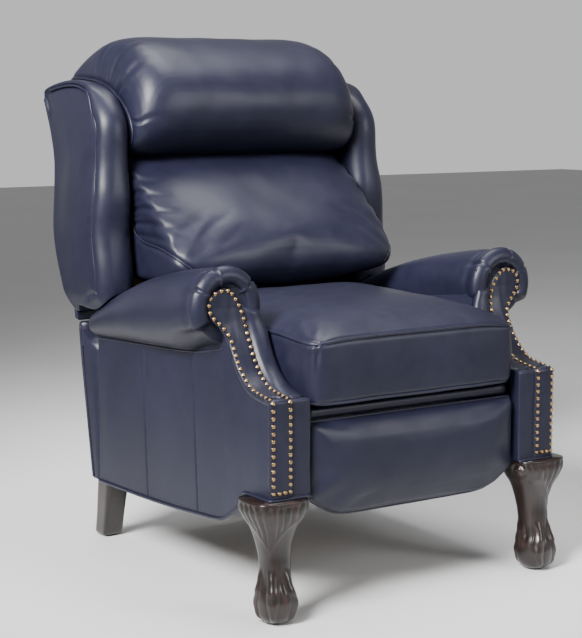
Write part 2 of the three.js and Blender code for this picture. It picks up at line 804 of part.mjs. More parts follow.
addPair('seat_plate', seatPlate(), STEEL);
addPair('seat_side_rail', sideRail(), PLYWOOD);
add('seat_front_rail', crossRail(SEAT_RAIL_Y[0], SEAT_RAIL_Y[0] + 20), PLYWOOD);
add('seat_rear_rail', crossRail(SEAT_RAIL_Y[1] - 20, SEAT_RAIL_Y[1]), PLYWOOD);
add('seat_springs', springs(), STEEL);
add('seat_deck', seatDeck(), CLOTH);
add('seat_cushion', seatCushion(), LEATHER);

const { upperNear, lowerNear, middle, upperFar, lowerFar, tip } = TONG;
addPair('footrest_near_upper_link', rising(TONG_PIVOT, upperNear, [TONG_PIVOT], [upperNear]), STEEL);
addPair('footrest_near_lower_link', falling(TONG_PIVOT, lowerNear, [TONG_PIVOT, lowerNear]), STEEL);
addPair('footrest_falling_link', falling(upperNear, lowerFar, [upperNear, middle, lowerFar]), STEEL);
addPair('footrest_rising_link', rising(lowerNear, upperFar, [], [lowerNear, middle, upperFar]), STEEL);
addPair('footrest_far_upper_link', falling(upperFar, tip, [upperFar, tip]), STEEL);
addPair('footrest_far_lower_link', rising(lowerFar, tip, [tip], [lowerFar]), STEEL);
addPair('footrest_bracket', footrestBracket(), STEEL);
add('footrest_board', footrestBoard(), PLYWOOD);
add('footrest_pad', footrestPad(), LEATHER);

add('back_board', backBoard(), PLYWOOD);
addPair('back_bracket', backBracket(), STEEL);
addPair('wing_board', wingBoard(), PLYWOOD);
addPair('wing_pad', wingPad(), LEATHER);
add('outside_back_panel', outsideBackPanel(), LEATHER);
add('lumbar_cushion', lumbarCushion(), LEATHER);
add('headrest_cushion', headrestCushion(), LEATHER);

recliner.position.y = -CENTRE_Y;

export default recliner;
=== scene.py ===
import json
import math

import bmesh
import bpy
import numpy as np
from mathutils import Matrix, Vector, noise
from mathutils.bvhtree import BVHTree


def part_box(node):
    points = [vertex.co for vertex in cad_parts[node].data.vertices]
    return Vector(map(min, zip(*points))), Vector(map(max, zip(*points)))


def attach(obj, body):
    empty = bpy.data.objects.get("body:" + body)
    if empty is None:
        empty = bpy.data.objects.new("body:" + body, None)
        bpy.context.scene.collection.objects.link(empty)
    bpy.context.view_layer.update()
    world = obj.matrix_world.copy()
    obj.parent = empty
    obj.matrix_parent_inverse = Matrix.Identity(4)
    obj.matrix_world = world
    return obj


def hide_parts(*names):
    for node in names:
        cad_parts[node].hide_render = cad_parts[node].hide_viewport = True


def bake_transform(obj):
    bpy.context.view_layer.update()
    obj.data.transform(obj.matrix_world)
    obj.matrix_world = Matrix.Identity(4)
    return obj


# Wing-back recliner in navy leather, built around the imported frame. Metres, +Z up, the chair faces -Y.
# Shapes are drawn for the sitter's left side (+X) and mirrored. Their y is measured from a line 0.4 m
# behind the front of the arm posts; make() moves them into the frame of the CAD.

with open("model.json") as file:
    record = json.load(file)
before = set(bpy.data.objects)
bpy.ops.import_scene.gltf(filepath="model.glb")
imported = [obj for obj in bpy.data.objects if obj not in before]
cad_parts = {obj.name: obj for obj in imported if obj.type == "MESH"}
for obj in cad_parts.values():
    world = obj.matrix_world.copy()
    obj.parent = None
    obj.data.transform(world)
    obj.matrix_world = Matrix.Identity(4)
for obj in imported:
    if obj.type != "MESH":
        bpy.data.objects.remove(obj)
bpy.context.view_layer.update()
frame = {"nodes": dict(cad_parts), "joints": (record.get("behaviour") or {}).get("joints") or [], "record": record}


def low(node):
    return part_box(node)[0]


def high(node):
    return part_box(node)[1]


# ---------- driving dimensions ----------
FRONT = -0.400
ORIGIN_Y = low("arm_cover_left").y - FRONT
POST_INNER = low("arm_cover_left").x
POST_OUTER = 0.360
POST_TOP = 0.436
POST_BASE = 0.244
SKIRT = low("arm_cover_left").z
ARM_REAR = high("arm_cover_left").y - ORIGIN_Y
SCROLL_Y = -0.236
CUSHION_X = high("seat_cushion").x
CUSHION_BASE = low("seat_cushion").z
CUSHION_REAR = high("seat_cushion").y - ORIGIN_Y
BACK_X = high("headrest_cushion").x
BACK_PIVOT = Vector(next(j for j in frame["joints"] if j["name"] == "back_recline")["pos_m"])
WELT = 0.0038

# Arm roll at each y: height of its top and of the seam under it, x of its centre line, half width.
ROLL_TOP = [
    (SCROLL_Y, 0.680), (-0.178, 0.675), (-0.076, 0.660), (0.048, 0.634), (0.158, 0.600), (0.213, 0.579),
    (0.303, 0.540)]
ROLL_LOW = [(SCROLL_Y, 0.521), (-0.115, 0.500), (0.094, 0.488), (0.303, 0.477)]
ROLL_X = [(SCROLL_Y, 0.355), (0.048, 0.349), (0.158, 0.343), (0.303, 0.336)]
ROLL_HALF = [
    (SCROLL_Y, 0.077), (-0.076, 0.068), (0.048, 0.063), (0.158, 0.057), (0.213, 0.053), (0.303, 0.046)]
# Lower edge of the arm's side, and the curve of its front edge from the post up to the scroll.
SKIRT_EDGE = [
    (-0.400, 0.244), (-0.312, 0.244), (-0.274, 0.204), (-0.220, 0.172), (-0.131, 0.164), (0.080, 0.153),
    (0.303, 0.149)]
SWOOP = [
    (0.436, -0.400), (0.439, -0.373), (0.447, -0.334), (0.463, -0.307), (0.487, -0.283), (0.520, -0.262),
    (0.550, -0.248), (0.575, -0.241), (0.600, -0.2385)]
SIDE_SEAMS = [(-0.131, -0.115), (0.078, 0.090)]
# Rear face of the chair at each height.
REAR_LINE = [
    (0.149, 0.343), (0.276, 0.365), (0.435, 0.392), (0.533, 0.405), (0.620, 0.450), (0.682, 0.470),
    (0.764, 0.476), (0.821, 0.483), (0.923, 0.508), (1.009, 0.546)]


# ---------- curves and mesh helpers ----------
def curve(table):
    """Smooth function through a table of (key, value) rows, with no overshoot between them."""
    keys, values = np.array(table, float).T
    widths = np.diff(keys)
    rises = np.diff(values) / widths
    slopes = np.concatenate([[rises[0]], np.zeros(len(keys) - 2), [rises[-1]]])
    for i in range(1, len(keys) - 1):
        if rises[i - 1] * rises[i] > 0:
            a, b = 2 * widths[i] + widths[i - 1], widths[i] + 2 * widths[i - 1]
            slopes[i] = (a + b) / (a / rises[i - 1] + b / rises[i])

    def at(key):
        key = np.clip(np.asarray(key, float), keys[0], keys[-1])
        i = np.clip(np.searchsorted(keys, key, side="right") - 1, 0, len(keys) - 2)
        t = (key - keys[i]) / widths[i]
        value = ((2 * t**3 - 3 * t**2 + 1) * values[i] + (t**3 - 2 * t**2 + t) * widths[i] * slopes[i]
                 + (3 * t**2 - 2 * t**3) * values[i + 1] + (t**3 - t**2) * widths[i] * slopes[i + 1])
        return value if value.ndim else float(value)

    return at


def smoothstep(low_end, high_end, value):
    t = np.clip((np.asarray(value, float) - low_end) / (high_end - low_end), 0, 1)
    return t * t * (3 - 2 * t)


def bell(distance, width):
    return np.exp(-(np.asarray(distance, float) / width) ** 2)


def sorted_stops(*groups):
    return np.unique(np.round(np.concatenate(groups), 5))


def full_turn(sides):
    """Angles of evenly spaced sides."""
    return np.linspace(0, 2 * np.pi, sides, endpoint=False)


def grid_faces(rows, columns, wrap=False, start=0):
    faces = []
    for r in range(rows - 1):
        for c in range(columns if wrap else columns - 1):
            d = (c + 1) % columns
            a, b = start + r * columns + c, start + r * columns + d
            faces.append((a, b, b + columns, a + columns))
    return faces


def loft(rings):
    """Closed skin through equal rings of points, with a fan at each end."""
    rings = np.asarray(rings, float)
    count, sides = rings.shape[:2]
    points = rings.reshape(-1, 3).tolist()
    faces = grid_faces(count, sides, wrap=True)
    for ring, turned in ((0, True), (count - 1, False)):
        centre = len(points)
        points.append(rings[ring].mean(0).tolist())
        for i in range(sides):
            a, b = ring * sides + i, ring * sides + (i + 1) % sides
            faces.append((centre, b, a) if turned else (centre, a, b))
    return points, faces


def unit(vectors):
    return vectors / np.linalg.norm(vectors, axis=1)[:, None]


def outward(route):
    """Direction square to an open (u, v) path at each point, on its right."""
    ahead = unit(np.gradient(route, axis=0))
    return np.stack([ahead[:, 1], -ahead[:, 0]], 1)


def tube(path, radius, sides=8, closed=False):
    """Round tube along a path of points."""
    path = np.asarray(path, float)
    ahead = np.roll(path, -1, 0) - np.roll(path, 1, 0)
    if not closed:
        ahead[0], ahead[-1] = path[1] - path[0], path[-1] - path[-2]
    ahead = unit(ahead)
    side = np.cross(ahead[0], (0.31, 0.17, 0.93))
    angles = full_turn(sides)
    rings = []
    for point, direction in zip(path, ahead):
        side = side - direction * (side @ direction)
        side /= np.linalg.norm(side)
        other = np.cross(direction, side)
        rings.append(point + radius * (np.outer(np.cos(angles), side) + np.outer(np.sin(angles), other)))
    if not closed:
        return loft(rings)
    rings.append(rings[0])
    points = np.array(rings[:-1]).reshape(-1, 3).tolist()
    total = len(points)
    faces = [tuple(v % total for v in f) for f in grid_faces(len(rings), sides, wrap=True)]
    return points, faces


def two_skins(outer, inner):
    """Closed panel between two equal grids of points."""
    rows, columns = len(outer), len(outer[0])
    points = np.concatenate([np.concatenate(outer), np.concatenate(inner)]).tolist()
    shift = rows * columns
    faces = grid_faces(rows, columns)
    faces += [tuple(reversed(f)) for f in grid_faces(rows, columns, start=shift)]
    rim = list(range(columns)) + [r * columns + columns - 1 for r in range(1, rows)]
    rim += [(rows - 1) * columns + c for c in range(columns - 2, -1, -1)]
    rim += [r * columns for r in range(rows - 2, 0, -1)]
    faces += [(a, b, b + shift, a + shift) for a, b in zip(rim, rim[1:] + rim[:1])]
    return points, faces


def together(*parts):
    points, faces = [], []
    for more_points, more_faces in parts:
        start = len(points)
        points += [list(p) for p in more_points]
        faces += [tuple(v + start for v in f) for f in more_faces]
    return points, faces


def closed(loop):
    """The loop with its first point again at its end."""
    loop = np.asarray(loop, float)
    return np.concatenate([loop, loop[:1]])


def run_of(path):
    """Length along the path up to each of its points."""
    return np.concatenate([[0], np.cumsum(np.linalg.norm(np.diff(path, axis=0), axis=1))])


def read_off(stops, run, path):
    return np.stack([np.interp(stops, run, column) for column in path.T], 1)


def spaced(path, pitch):
    """Points along a path, about one pitch apart."""
    run = run_of(path)
    stops = np.linspace(0, run[-1], max(2, int(round(run[-1] / pitch)) + 1))
    return read_off(stops, run, path)


def closed_spaced(loop, count, partner=None):
    """Evenly spaced points on a closed loop, or the points of a partner loop that pair with them."""
    run = run_of(closed(loop))
    stops = np.linspace(0, run[-1], count, endpoint=False)
    return read_off(stops, run, closed(loop if partner is None else partner))


def eased_corners(path, after):
    cut = np.empty((2 * len(path), path.shape[1]))
    cut[0::2] = 0.75 * path + 0.25 * after
    cut[1::2] = 0.25 * path + 0.75 * after
    return cut


def rounded_path(path, rounds=3):
    """Corner-cutting: the same path with its corners eased."""
    path = np.asarray(path, float)
    for _ in range(rounds):
        path = np.concatenate([path[:1], eased_corners(path[:-1], path[1:]), path[-1:]])
    return path


def rounded_loop(loop, rounds=2):
    loop = np.asarray(loop, float)
    for _ in range(rounds):
        loop = eased_corners(loop, np.roll(loop, -1, 0))
    return loop


def nearest(points, path):
    """For each point: distance from the path, the nearest spot on it, and how far along the path that is."""
    points, path = np.asarray(points, float), np.asarray(path, float)
    best, share = np.full(len(points), 1e9), np.zeros(len(points))
    spot = np.zeros_like(points)
    for i, (a, b) in enumerate(zip(path[:-1], path[1:])):
        along = b - a
        t = np.clip(((points - a) @ along) / max(along @ along, 1e-12), 0, 1)
        foot = a + t[:, None] * along
        away = np.linalg.norm(points - foot, axis=1)
        closer = away < best
        best = np.where(closer, away, best)
        share = np.where(closer, (i + t) / (len(path) - 1), share)
        spot[closer] = foot[closer]
    return best, spot, share


def wobble(points, scale, seed):
    """Slow smooth noise, one value a point, about -1 to 1."""
    return np.array([noise.noise(Vector((p[0] * scale + seed, p[1] * scale, p[2] * scale))) for p in points])


def make(name, shape, body, slot, stands_for=()):
    """Mesh object from (points, faces), in its slot's material, riding its body."""
    points, faces = shape
    points = np.array(points, float)
    points[:, 1] += ORIGIN_Y
    mesh = bpy.data.meshes.new(name)
    mesh.from_pydata(points.tolist(), [], faces)
    tidy = bmesh.new()
    tidy.from_mesh(mesh)
    bmesh.ops.recalc_face_normals(tidy, faces=tidy.faces)
    tidy.to_mesh(mesh)
    tidy.free()
    mesh.shade_smooth()
    mesh.materials.append(FINISHES[slot])
    piece = bpy.data.objects.new(name, mesh)
    bpy.context.scene.collection.objects.link(piece)
    if body:
        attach(piece, body)
    if stands_for:
        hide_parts(*stands_for)
    return piece


def mirror(shape):
    points, faces = shape
    return [(-p[0], p[1], p[2]) for p in points], [tuple(reversed(f)) for f in faces]


def make_pair(name, shape, body, slot, stands_for=()):
    return [make(f"{name}_{side}", side_shape, body, slot, [f"{node}_{side}" for node in stands_for])
            for side, side_shape in (("left", shape), ("right", mirror(shape)))]


def vertex_rows(piece, what):
    rows = np.empty(len(piece.data.vertices) * 3)
    piece.data.vertices.foreach_get(what, rows)
    return rows.reshape(-1, 3)


def points_of(piece):
    return vertex_rows(piece, "co") - (0, ORIGIN_Y, 0)


def set_points(piece, points):
    piece.data.vertices.foreach_set("co", (points + (0, ORIGIN_Y, 0)).ravel())
    piece.data.update()


# ---------- camera, floor and light ----------
def aimed(name, data, place, direction):
    """Camera or light at a place, looking along a direction."""
    thing = bpy.data.objects.new(name, data)
    thing.location = place
    thing.rotation_mode = "QUATERNION"
    thing.rotation_quaternion = direction.to_track_quat("-Z", "Y")
    bpy.context.scene.collection.objects.link(thing)
    return thing


def add_camera():
    data = bpy.data.cameras.new("camera")
    data.sensor_width = 36
    data.lens = 92.86
    data.clip_end = 50
    azimuth, elevation = math.radians(-33.99), math.radians(7.72)  # from the chair's own straight edges
    back = Vector((math.sin(azimuth) * math.cos(elevation), -math.cos(azimuth) * math.cos(elevation),
                   math.sin(elevation)))
    place = (-2.0368, ORIGIN_Y - 2.9581, 1.0119)
    bpy.context.scene.camera = aimed("camera", data, place, -back)


def add_light(name, place, target, size, power, spread):
    data = bpy.data.lights.new(name, "AREA")
    data.shape = "RECTANGLE"
    data.size, data.size_y = size
    data.energy = power
    data.spread = math.radians(spread)
    aimed(name, data, place, Vector(target) - Vector(place))


def add_stage():
    floor = bpy.data.objects.new("floor", bpy.data.meshes.new("floor"))
    reach = 14
    corners = [(-reach, -reach, 0), (reach, -reach, 0), (reach, reach, 0), (-reach, reach, 0)]
    floor.data.from_pydata(corners, [], [(0, 1, 2, 3)])
    floor.data.materials.append(FLOOR)
    bpy.context.scene.collection.objects.link(floor)
    world = bpy.data.worlds.new("studio")
    world.use_nodes = True
    tree = world.node_tree
    background = tree.nodes["Background"]
    direction = tree.nodes.new("ShaderNodeTexCoord")
    split = tree.nodes.new("ShaderNodeSeparateXYZ")
    ramp = tree.nodes.new("ShaderNodeValToRGB")
    for element, (at, grey) in zip(ramp.color_ramp.elements, [(0.06, 0.66), (0.45, 0.24)]):
        element.position = at
        element.color = (grey, grey, grey, 1)
    tree.links.new(direction.outputs["Generated"], split.inputs["Vector"])
    tree.links.new(split.outputs["Z"], ramp.inputs["Fac"])
    tree.links.new(ramp.outputs["Color"], background.inputs["Color"])
    background.inputs["Strength"].default_value = 1.0
    bpy.context.scene.world = world
    add_light("key", (-3.0, -1.4, 2.9), (0, 0, 0.75), (1.5, 1.5), 60, 52)
    add_light("overhead", (0.4, 0.2, 3.4), (0, 0, 0.6), (2.4, 1.4), 23, 80)
    add_light("front", (1.6, -3.4, 1.9), (0, 0, 0.6), (1.2, 1.2), 7, 60)


# ---------- materials ----------
class Nodes:
    """Short names for building a material's nodes."""

    def __init__(self, name):
        self.material = bpy.data.materials.new(name)
        self.material.use_nodes = True
        self.tree = self.material.node_tree
        self.shader = self.tree.nodes["Principled BSDF"]
        self.place = self.add("ShaderNodeTexCoord").outputs["Object"]

    def add(self, kind, **settings):
        node = self.tree.nodes.new(kind)
        for key, value in settings.items():
            setattr(node, key, value)
        return node

    def join(self, source, target):
        self.tree.links.new(source, target)

    def stretched(self, scale):
        mapping = self.add("ShaderNodeMapping")
        mapping.inputs["Scale"].default_value = scale
        self.join(self.place, mapping.inputs["Vector"])
        return mapping.outputs["Vector"]

    def noise(self, scale, detail=3.0, rough=0.5, vector=None, distortion=0.0):
        node = self.add("ShaderNodeTexNoise")
        node.inputs["Scale"].default_value = scale
        node.inputs["Detail"].default_value = detail
        node.inputs["Roughness"].default_value = rough
        node.inputs["Distortion"].default_value = distortion
        self.join(vector or self.place, node.inputs["Vector"])
        return node.outputs["Fac"]

    def cells(self, scale):
        node = self.add("ShaderNodeTexVoronoi", feature="DISTANCE_TO_EDGE")
        node.inputs["Scale"].default_value = scale
        self.join(self.place, node.inputs["Vector"])
        return node.outputs["Distance"]

    def ramp(self, fac, stops):
        node = self.add("ShaderNodeValToRGB")
        elements = node.color_ramp.elements
        while len(elements) < len(stops):
            elements.new(0.5)
        for element, (at, colour) in zip(elements, stops):
            element.position = at
            element.color = (*colour, 1)
        self.join(fac, node.inputs["Fac"])
        return node.outputs["Color"]

    def span(self, fac, low_end, high_end):
        node = self.add("ShaderNodeMapRange")
        node.inputs["To Min"].default_value, node.inputs["To Max"].default_value = low_end, high_end
        self.join(fac, node.inputs["Value"])
        return node.outputs["Result"]

    def mix(self, fac, first, second, kind="MIX"):
        node = self.add("ShaderNodeMix", data_type="RGBA", blend_type=kind)
        if isinstance(fac, float):
            node.inputs["Factor"].default_value = fac
        else:
            self.join(fac, node.inputs["Factor"])
        self.join(first, node.inputs[6])
        self.join(second, node.inputs[7])
        return node.outputs[2]

    def bump(self, height, strength, distance, under=None):
        node = self.add("ShaderNodeBump")
        node.inputs["Strength"].default_value = strength
        node.inputs["Distance"].default_value = distance
        self.join(height, node.inputs["Height"])
        if under:
            self.join(under, node.inputs["Normal"])
        return node.outputs["Normal"]

    def finish(self, colour, roughness, normal, **fixed):
        self.join(colour, self.shader.inputs["Base Color"])
        self.join(roughness, self.shader.inputs["Roughness"])
        self.join(normal, self.shader.inputs["Normal"])
        for key, value in fixed.items():
            self.shader.inputs[key.replace("_", " ").title().replace("Ior", "IOR")].default_value = value
        return self.material


def leather():
    n = Nodes("navy_leather")
    broad = n.noise(3.2, 3.0, 0.55)
    mottle = n.noise(38.0, 4.0, 0.6)
    tone = n.ramp(broad, [(0.32, (0.0078, 0.0083, 0.0200)), (0.68, (0.0120, 0.0126, 0.0285))])
    fleck = n.ramp(mottle, [(0.35, (0.86, 0.86, 0.88)), (0.70, (1.10, 1.09, 1.07))])
    colour = n.mix(1.0, tone, fleck, "MULTIPLY")
    grain = n.cells(620.0)
    pores = n.noise(900.0, 2.0, 0.6)
    fine = n.bump(grain, 0.16, 0.0006)
    both = n.bump(pores, 0.10, 0.0004, fine)
    soft = n.bump(n.noise(70.0, 3.0, 0.55), 0.12, 0.0020, both)
    roughness = n.span(mottle, 0.36, 0.46)
    return n.finish(colour, roughness, soft, specular_ior_level=0.34)


def walnut():
    n = Nodes("dark_walnut")
    lines = n.noise(14.0, 5.0, 0.62, n.stretched((6.0, 6.0, 0.7)), 1.4)
    colour = n.ramp(lines, [(0.30, (0.0030, 0.0018, 0.0017)), (0.55, (0.0100, 0.0042, 0.0034)),
                            (0.75, (0.0360, 0.0110, 0.0075))])
    pores = n.noise(160.0, 3.0, 0.6, n.stretched((5.0, 5.0, 0.5)))
    roughness = n.span(lines, 0.24, 0.40)
    return n.finish(colour, roughness, n.bump(pores, 0.14, 0.0006), specular_ior_level=0.55,
                    coat_weight=0.20, coat_roughness=0.2)


def brass():
    n = Nodes("antique_brass")
    # The rim attribute gives each nail point its share of painted shade, darker at the head's foot where it meets
    # the leather, with some patina there too.
    rim = n.add("ShaderNodeAttribute", attribute_name="rim").outputs["Fac"]
    wear = n.noise(240.0, 3.0, 0.6)
    gold = n.ramp(wear, [(0.30, (0.30, 0.185, 0.085)), (0.70, (0.56, 0.39, 0.21))])
    # Near-black brown mixed in by the rim attribute: painted shade at each nail's foot where it meets the leather,
    # and the brass's patina there.
    shade_and_patina = n.ramp(wear, [(0.30, (0.030, 0.018, 0.010)), (0.70, (0.070, 0.042, 0.022))])
    colour = n.mix(rim, gold, shade_and_patina)
    return n.finish(colour, n.span(wear, 0.22, 0.36), n.bump(wear, 0.10, 0.0003), metallic=1.0)


def plain(n, pattern, stops, rough, bump, **fixed):
    """Material whose colour, roughness and bump all follow one pattern."""
    return n.finish(n.ramp(pattern, stops), n.span(pattern, *rough), n.bump(pattern, *bump), **fixed)


def steel():
    n = Nodes("black_steel")
    return plain(n, n.noise(60.0, 4.0, 0.6, n.stretched((1.0, 0.15, 1.0))),
                 [(0.3, (0.050, 0.051, 0.055)), (0.7, (0.120, 0.121, 0.126))],
                 (0.32, 0.52), (0.08, 0.0004), metallic=0.9)


def plywood():
    n = Nodes("frame_plywood")
    return plain(n, n.noise(9.0, 5.0, 0.6, n.stretched((1.0, 0.35, 5.0)), 1.0),
                 [(0.28, (0.26, 0.155, 0.075)), (0.5, (0.42, 0.275, 0.145)), (0.74, (0.52, 0.36, 0.20))],
                 (0.58, 0.74), (0.20, 0.0008))


def deck_cloth():
    n = Nodes("black_deck_cloth")
    warp = n.add("ShaderNodeTexWave", bands_direction="X")
    weft = n.add("ShaderNodeTexWave", bands_direction="Y")
    for wave in (warp, weft):
        wave.inputs["Scale"].default_value = 160.0
        n.join(n.place, wave.inputs["Vector"])
    weave = n.mix(0.5, warp.outputs["Color"], weft.outputs["Color"])
    colour = n.ramp(weave, [(0.2, (0.008, 0.008, 0.009)), (0.8, (0.024, 0.024, 0.027))])
    return n.finish(colour, n.span(n.noise(30.0), 0.8, 0.95), n.bump(weave, 0.35, 0.0008))


def nylon():
    n = Nodes("dark_nylon")
    return plain(n, n.noise(420.0, 2.0), [(0.3, (0.018, 0.016, 0.015)), (0.7, (0.030, 0.027, 0.025))],
                 (0.48, 0.62), (0.10, 0.0004))


def floor_finish():
    n = Nodes("pale_floor")
    cloud = n.noise(1.1, 2.0)
    colour = n.ramp(cloud, [(0.3, (0.74, 0.74, 0.74)), (0.7, (0.77, 0.77, 0.77))])
    return n.finish(colour, n.span(cloud, 0.75, 0.85), n.bump(n.noise(40.0), 0.02, 0.001))


# The material of each slot, in the order that they are made.
FINISHES = {"leather": leather(), "walnut": walnut(), "brass": brass(), "steel": steel(),
            "frame_wood": plywood(), "deck_cloth": deck_cloth(), "nylon": nylon()}
FLOOR = floor_finish()


def finish_cad_nodes():
    for row in frame["record"]["subparts"]:
        node = frame["nodes"][row["node"]]
        node.data.materials.clear()
        node.data.materials.append(FINISHES[row["material_slot"]])


# ---------- arms ----------
roll_top, roll_low, roll_x, roll_half = curve(ROLL_TOP), curve(ROLL_LOW), curve(ROLL_X), curve(ROLL_HALF)
skirt_z, swoop_y, rear_y = curve(SKIRT_EDGE), curve(SWOOP), curve(REAR_LINE)
SWOOP_HEIGHTS = np.linspace(POST_TOP, 0.600, 80)
SIDE_ROUND = 0.0055  # radius of the side's edges
SCROLL_FACE = SCROLL_Y - 0.0025


def side_top(y):
    """Upper edge of the arm's side: the swoop in front, then inside the roll."""
    front = np.interp(y, swoop_y(SWOOP_HEIGHTS), SWOOP_HEIGHTS)
    return np.where(np.asarray(y) < SCROLL_FACE, front, (roll_top(y) + roll_low(y)) / 2 - 0.012)


def edge_drop(distance, radius):
    """How far a rounded edge has fallen back at a distance in from it."""
    inside = np.clip(radius - distance, 0, radius)
    return radius - np.sqrt(radius**2 - inside**2)


def arm_side():
    inward = np.array([0, 0.0006, 0.0018, 0.0035, 0.0055, 0.009, 0.014])
    near = inward[:-1]
    ys = [FRONT + near, ARM_REAR - near, np.linspace(FRONT, -0.2, 42), np.linspace(-0.2, ARM_REAR, 52)]
    for seam in SIDE_SEAMS:
        ys.append(np.mean(seam) + np.arange(-13, 14) * 0.0014)
    outer, inner = [], []
    for y in sorted_stops(*ys):
        bottom, top = skirt_z(y), float(side_top(y))
        middle = np.linspace(bottom + 0.022, top - 0.022, 30)
        zs = np.concatenate([bottom + inward, middle, (top - inward)[::-1]])
        ends = min(y - FRONT, ARM_REAR - y)
        steep = 1 / math.hypot(1, (float(side_top(y + 0.002)) - float(side_top(y - 0.002))) / 0.004)
        distance = np.minimum(ends, np.minimum(zs - bottom, (top - zs) * steep))
        share = (zs - bottom) / (top - bottom)
        groove = sum(bell(y - (b + (t - b) * share), 0.0022) for b, t in SIDE_SEAMS)
        swell = 0.0024 * np.sin(np.pi * share) * (1 - np.clip(groove, 0, 1)) * smoothstep(0, 0.05, ends)
        x = POST_OUTER - edge_drop(distance, SIDE_ROUND) + swell - 0.0026 * groove
        x += 0.0007 * wobble(np.stack([zs * 0 + 1, zs * 0 + y, zs], 1), 11, 3)
        outer.append(np.stack([x, np.full_like(zs, y), zs], 1))
        back = POST_INNER + 0.018 * smoothstep(0.53, 0.60, zs) + edge_drop(distance, 0.004)
        inner.append(np.stack([back, np.full_like(zs, y), zs], 1))
    return two_skins(outer, inner)


PLEATS = np.radians([30, 72, 140])
NOSE = 0.019  # radius of the padded lip round the scroll


def arm_roll():
    """Roll with a padded, pleated lip round its front, open below where the side begins."""
    sides = 168
    angles = np.linspace(-np.pi / 2, 1.5 * np.pi, sides, endpoint=False)
    lip = smoothstep(-0.72, -0.38, angles) * (1 - smoothstep(3.3, 3.8, angles))
    stations = [(SCROLL_FACE, 0.20, None), (SCROLL_FACE, 0.40, None)]
    stations += [(None, None, b) for b in np.radians(np.linspace(-62, 90, 19))]
    stations += [(y, 1.0, None) for y in np.linspace(-0.2265, -0.170, 20)]
    stations += [(y, 1.0, None) for y in np.linspace(-0.165, ARM_REAR - 0.001, 46)]
    rings = []
    for y, share, turn in stations:
        if turn is None:
            ys, inset = np.full(sides, y), np.full(sides, 0.0)
        else:
            ys = SCROLL_Y + 0.0075 - NOSE * math.cos(turn) * (0.30 + 0.75 * lip)
            inset, share = np.full(sides, NOSE * (1 - math.sin(turn))), 1.0
        receding = 0.012 * (1 - lip) * (1 - smoothstep(-0.20, -0.10, ys))
        behind = ys - SCROLL_Y
        bulge = lip * (0.0040 * bell(behind - 0.004, 0.016) - 0.0030 * bell(behind - 0.034, 0.011))
        fade = 1 - smoothstep(-0.226, -0.165, ys)
        dips = sum(bell(angles - pleat, 0.045 + 0.05 * smoothstep(-0.235, -0.17, ys)) for pleat in PLEATS)
        deep = 0.0052 * fade * smoothstep(0.006, 0.030, roll_half(ys) * share - inset)
        spots = np.stack([np.cos(angles), ys * 6, np.sin(angles)], 1)
        off = bulge - receding - inset - deep * dips + 0.0010 * wobble(spots, 1.5, 9)
        middle = (roll_top(ys) + roll_low(ys)) / 2
        wide = roll_half(ys) * share + off
        tall = (roll_top(ys) - roll_low(ys)) / 2 * share + off
        rings.append(np.stack([roll_x(ys) + wide * np.cos(angles), ys, middle + tall * np.sin(angles)], 1))
    return loft(rings)


def front_route():
    """(y, z) points down the arm's front edge, from the top of the scroll's head to the foot of the post."""
    head = [(SCROLL_FACE, z) for z in np.linspace(HEAD_TOP, 0.602, 20)]
    swoop = [(swoop_y(z), z) for z in np.linspace(0.600, POST_TOP + 0.0005, 70)]
    corner = rounded_path([(-0.392, 0.4363), (FRONT, 0.4360), (FRONT, 0.428)], 3)
    swoop = [p for p in swoop if p[0] > -0.390]
    post = [(FRONT, z) for z in np.linspace(0.424, POST_BASE + 0.0005, 24)]
    return np.array([*head, *swoop, *corner, *post])


# The facing: straight on the post, and a rounded head on the scroll. Edges are x at each height.
HEAD_TOP = 0.6405
FACING_IN = curve([
    (0.244, 0.3105), (0.530, 0.3105), (0.572, 0.3125), (0.586, 0.3160), (0.600, 0.3210), (0.6125, 0.3280),
    (0.625, 0.3370), (0.636, 0.3490), (HEAD_TOP, 0.3610)])
FACING_OUT = curve([
    (0.244, 0.3605), (0.530, 0.3607), (0.545, 0.3640), (0.556, 0.3700), (0.567, 0.3785), (0.577, 0.3890),
    (0.588, 0.3980), (0.6006, 0.4028), (0.614, 0.4020), (0.6255, 0.3960), (0.6334, 0.3850),
    (0.6385, 0.3730), (HEAD_TOP, 0.3630)])
ROUTE = front_route()
ROUTE_OUT = outward(ROUTE)


def front_height(x, y, z):
    """How far the arm's front leather stands off its edge: plump border inside, flatter facing outside."""
    edge_in, edge_out = FACING_IN(z), FACING_OUT(z)
    tall = 0.0105 * smoothstep(-0.392, -0.300, y) + 0.0025
    tall = tall * (1 - smoothstep(0.585, 0.615, z)) - 0.006 * smoothstep(0.590, 0.615, z)
    middle, half = (POST_INNER + edge_in) / 2, (edge_in - POST_INNER) / 2
    border = tall * np.sqrt(np.clip(1 - ((x - middle) / half) ** 2, 0, 1))
    centre, reach = (edge_in + edge_out) / 2, (edge_out - edge_in) / 2
    facing = 0.0018 + 0.0042 * np.clip(1 - ((x - centre) / reach) ** 2, 0, 1) ** 0.6
    return np.where(x < edge_in, border, facing)


def arm_front():
    into = 0.007  # depth of the leather's rear behind the edge
    rings = []
    for (y, z), (out_y, out_z) in zip(ROUTE, ROUTE_OUT):
        edge_in, edge_out = FACING_IN(z), FACING_OUT(z)
        xs = np.concatenate([np.linspace(POST_INNER + 0.0002, edge_in - 0.0004, 16),
                             np.linspace(edge_in + 0.0004, edge_out, 20)])
        across = np.clip((edge_in - xs) / (edge_in - POST_INNER), 0, 1)
        shift = 0.016 * float(smoothstep(0.545, 0.600, z)) * across
        h = front_height(xs, y, z) + 0.0011 * wobble(np.stack([xs * 3, xs * 0 + y, xs * 0 + z], 1), 24, 4)
        front = np.stack([xs + shift, y + out_y * h, z + out_z * h], 1)
        rear = [(x, y - out_y * into, z - out_z * into) for x in (xs[-1], xs[0] + shift[0])]
        rings.append(np.concatenate([front, rear]))
    return loft(rings)


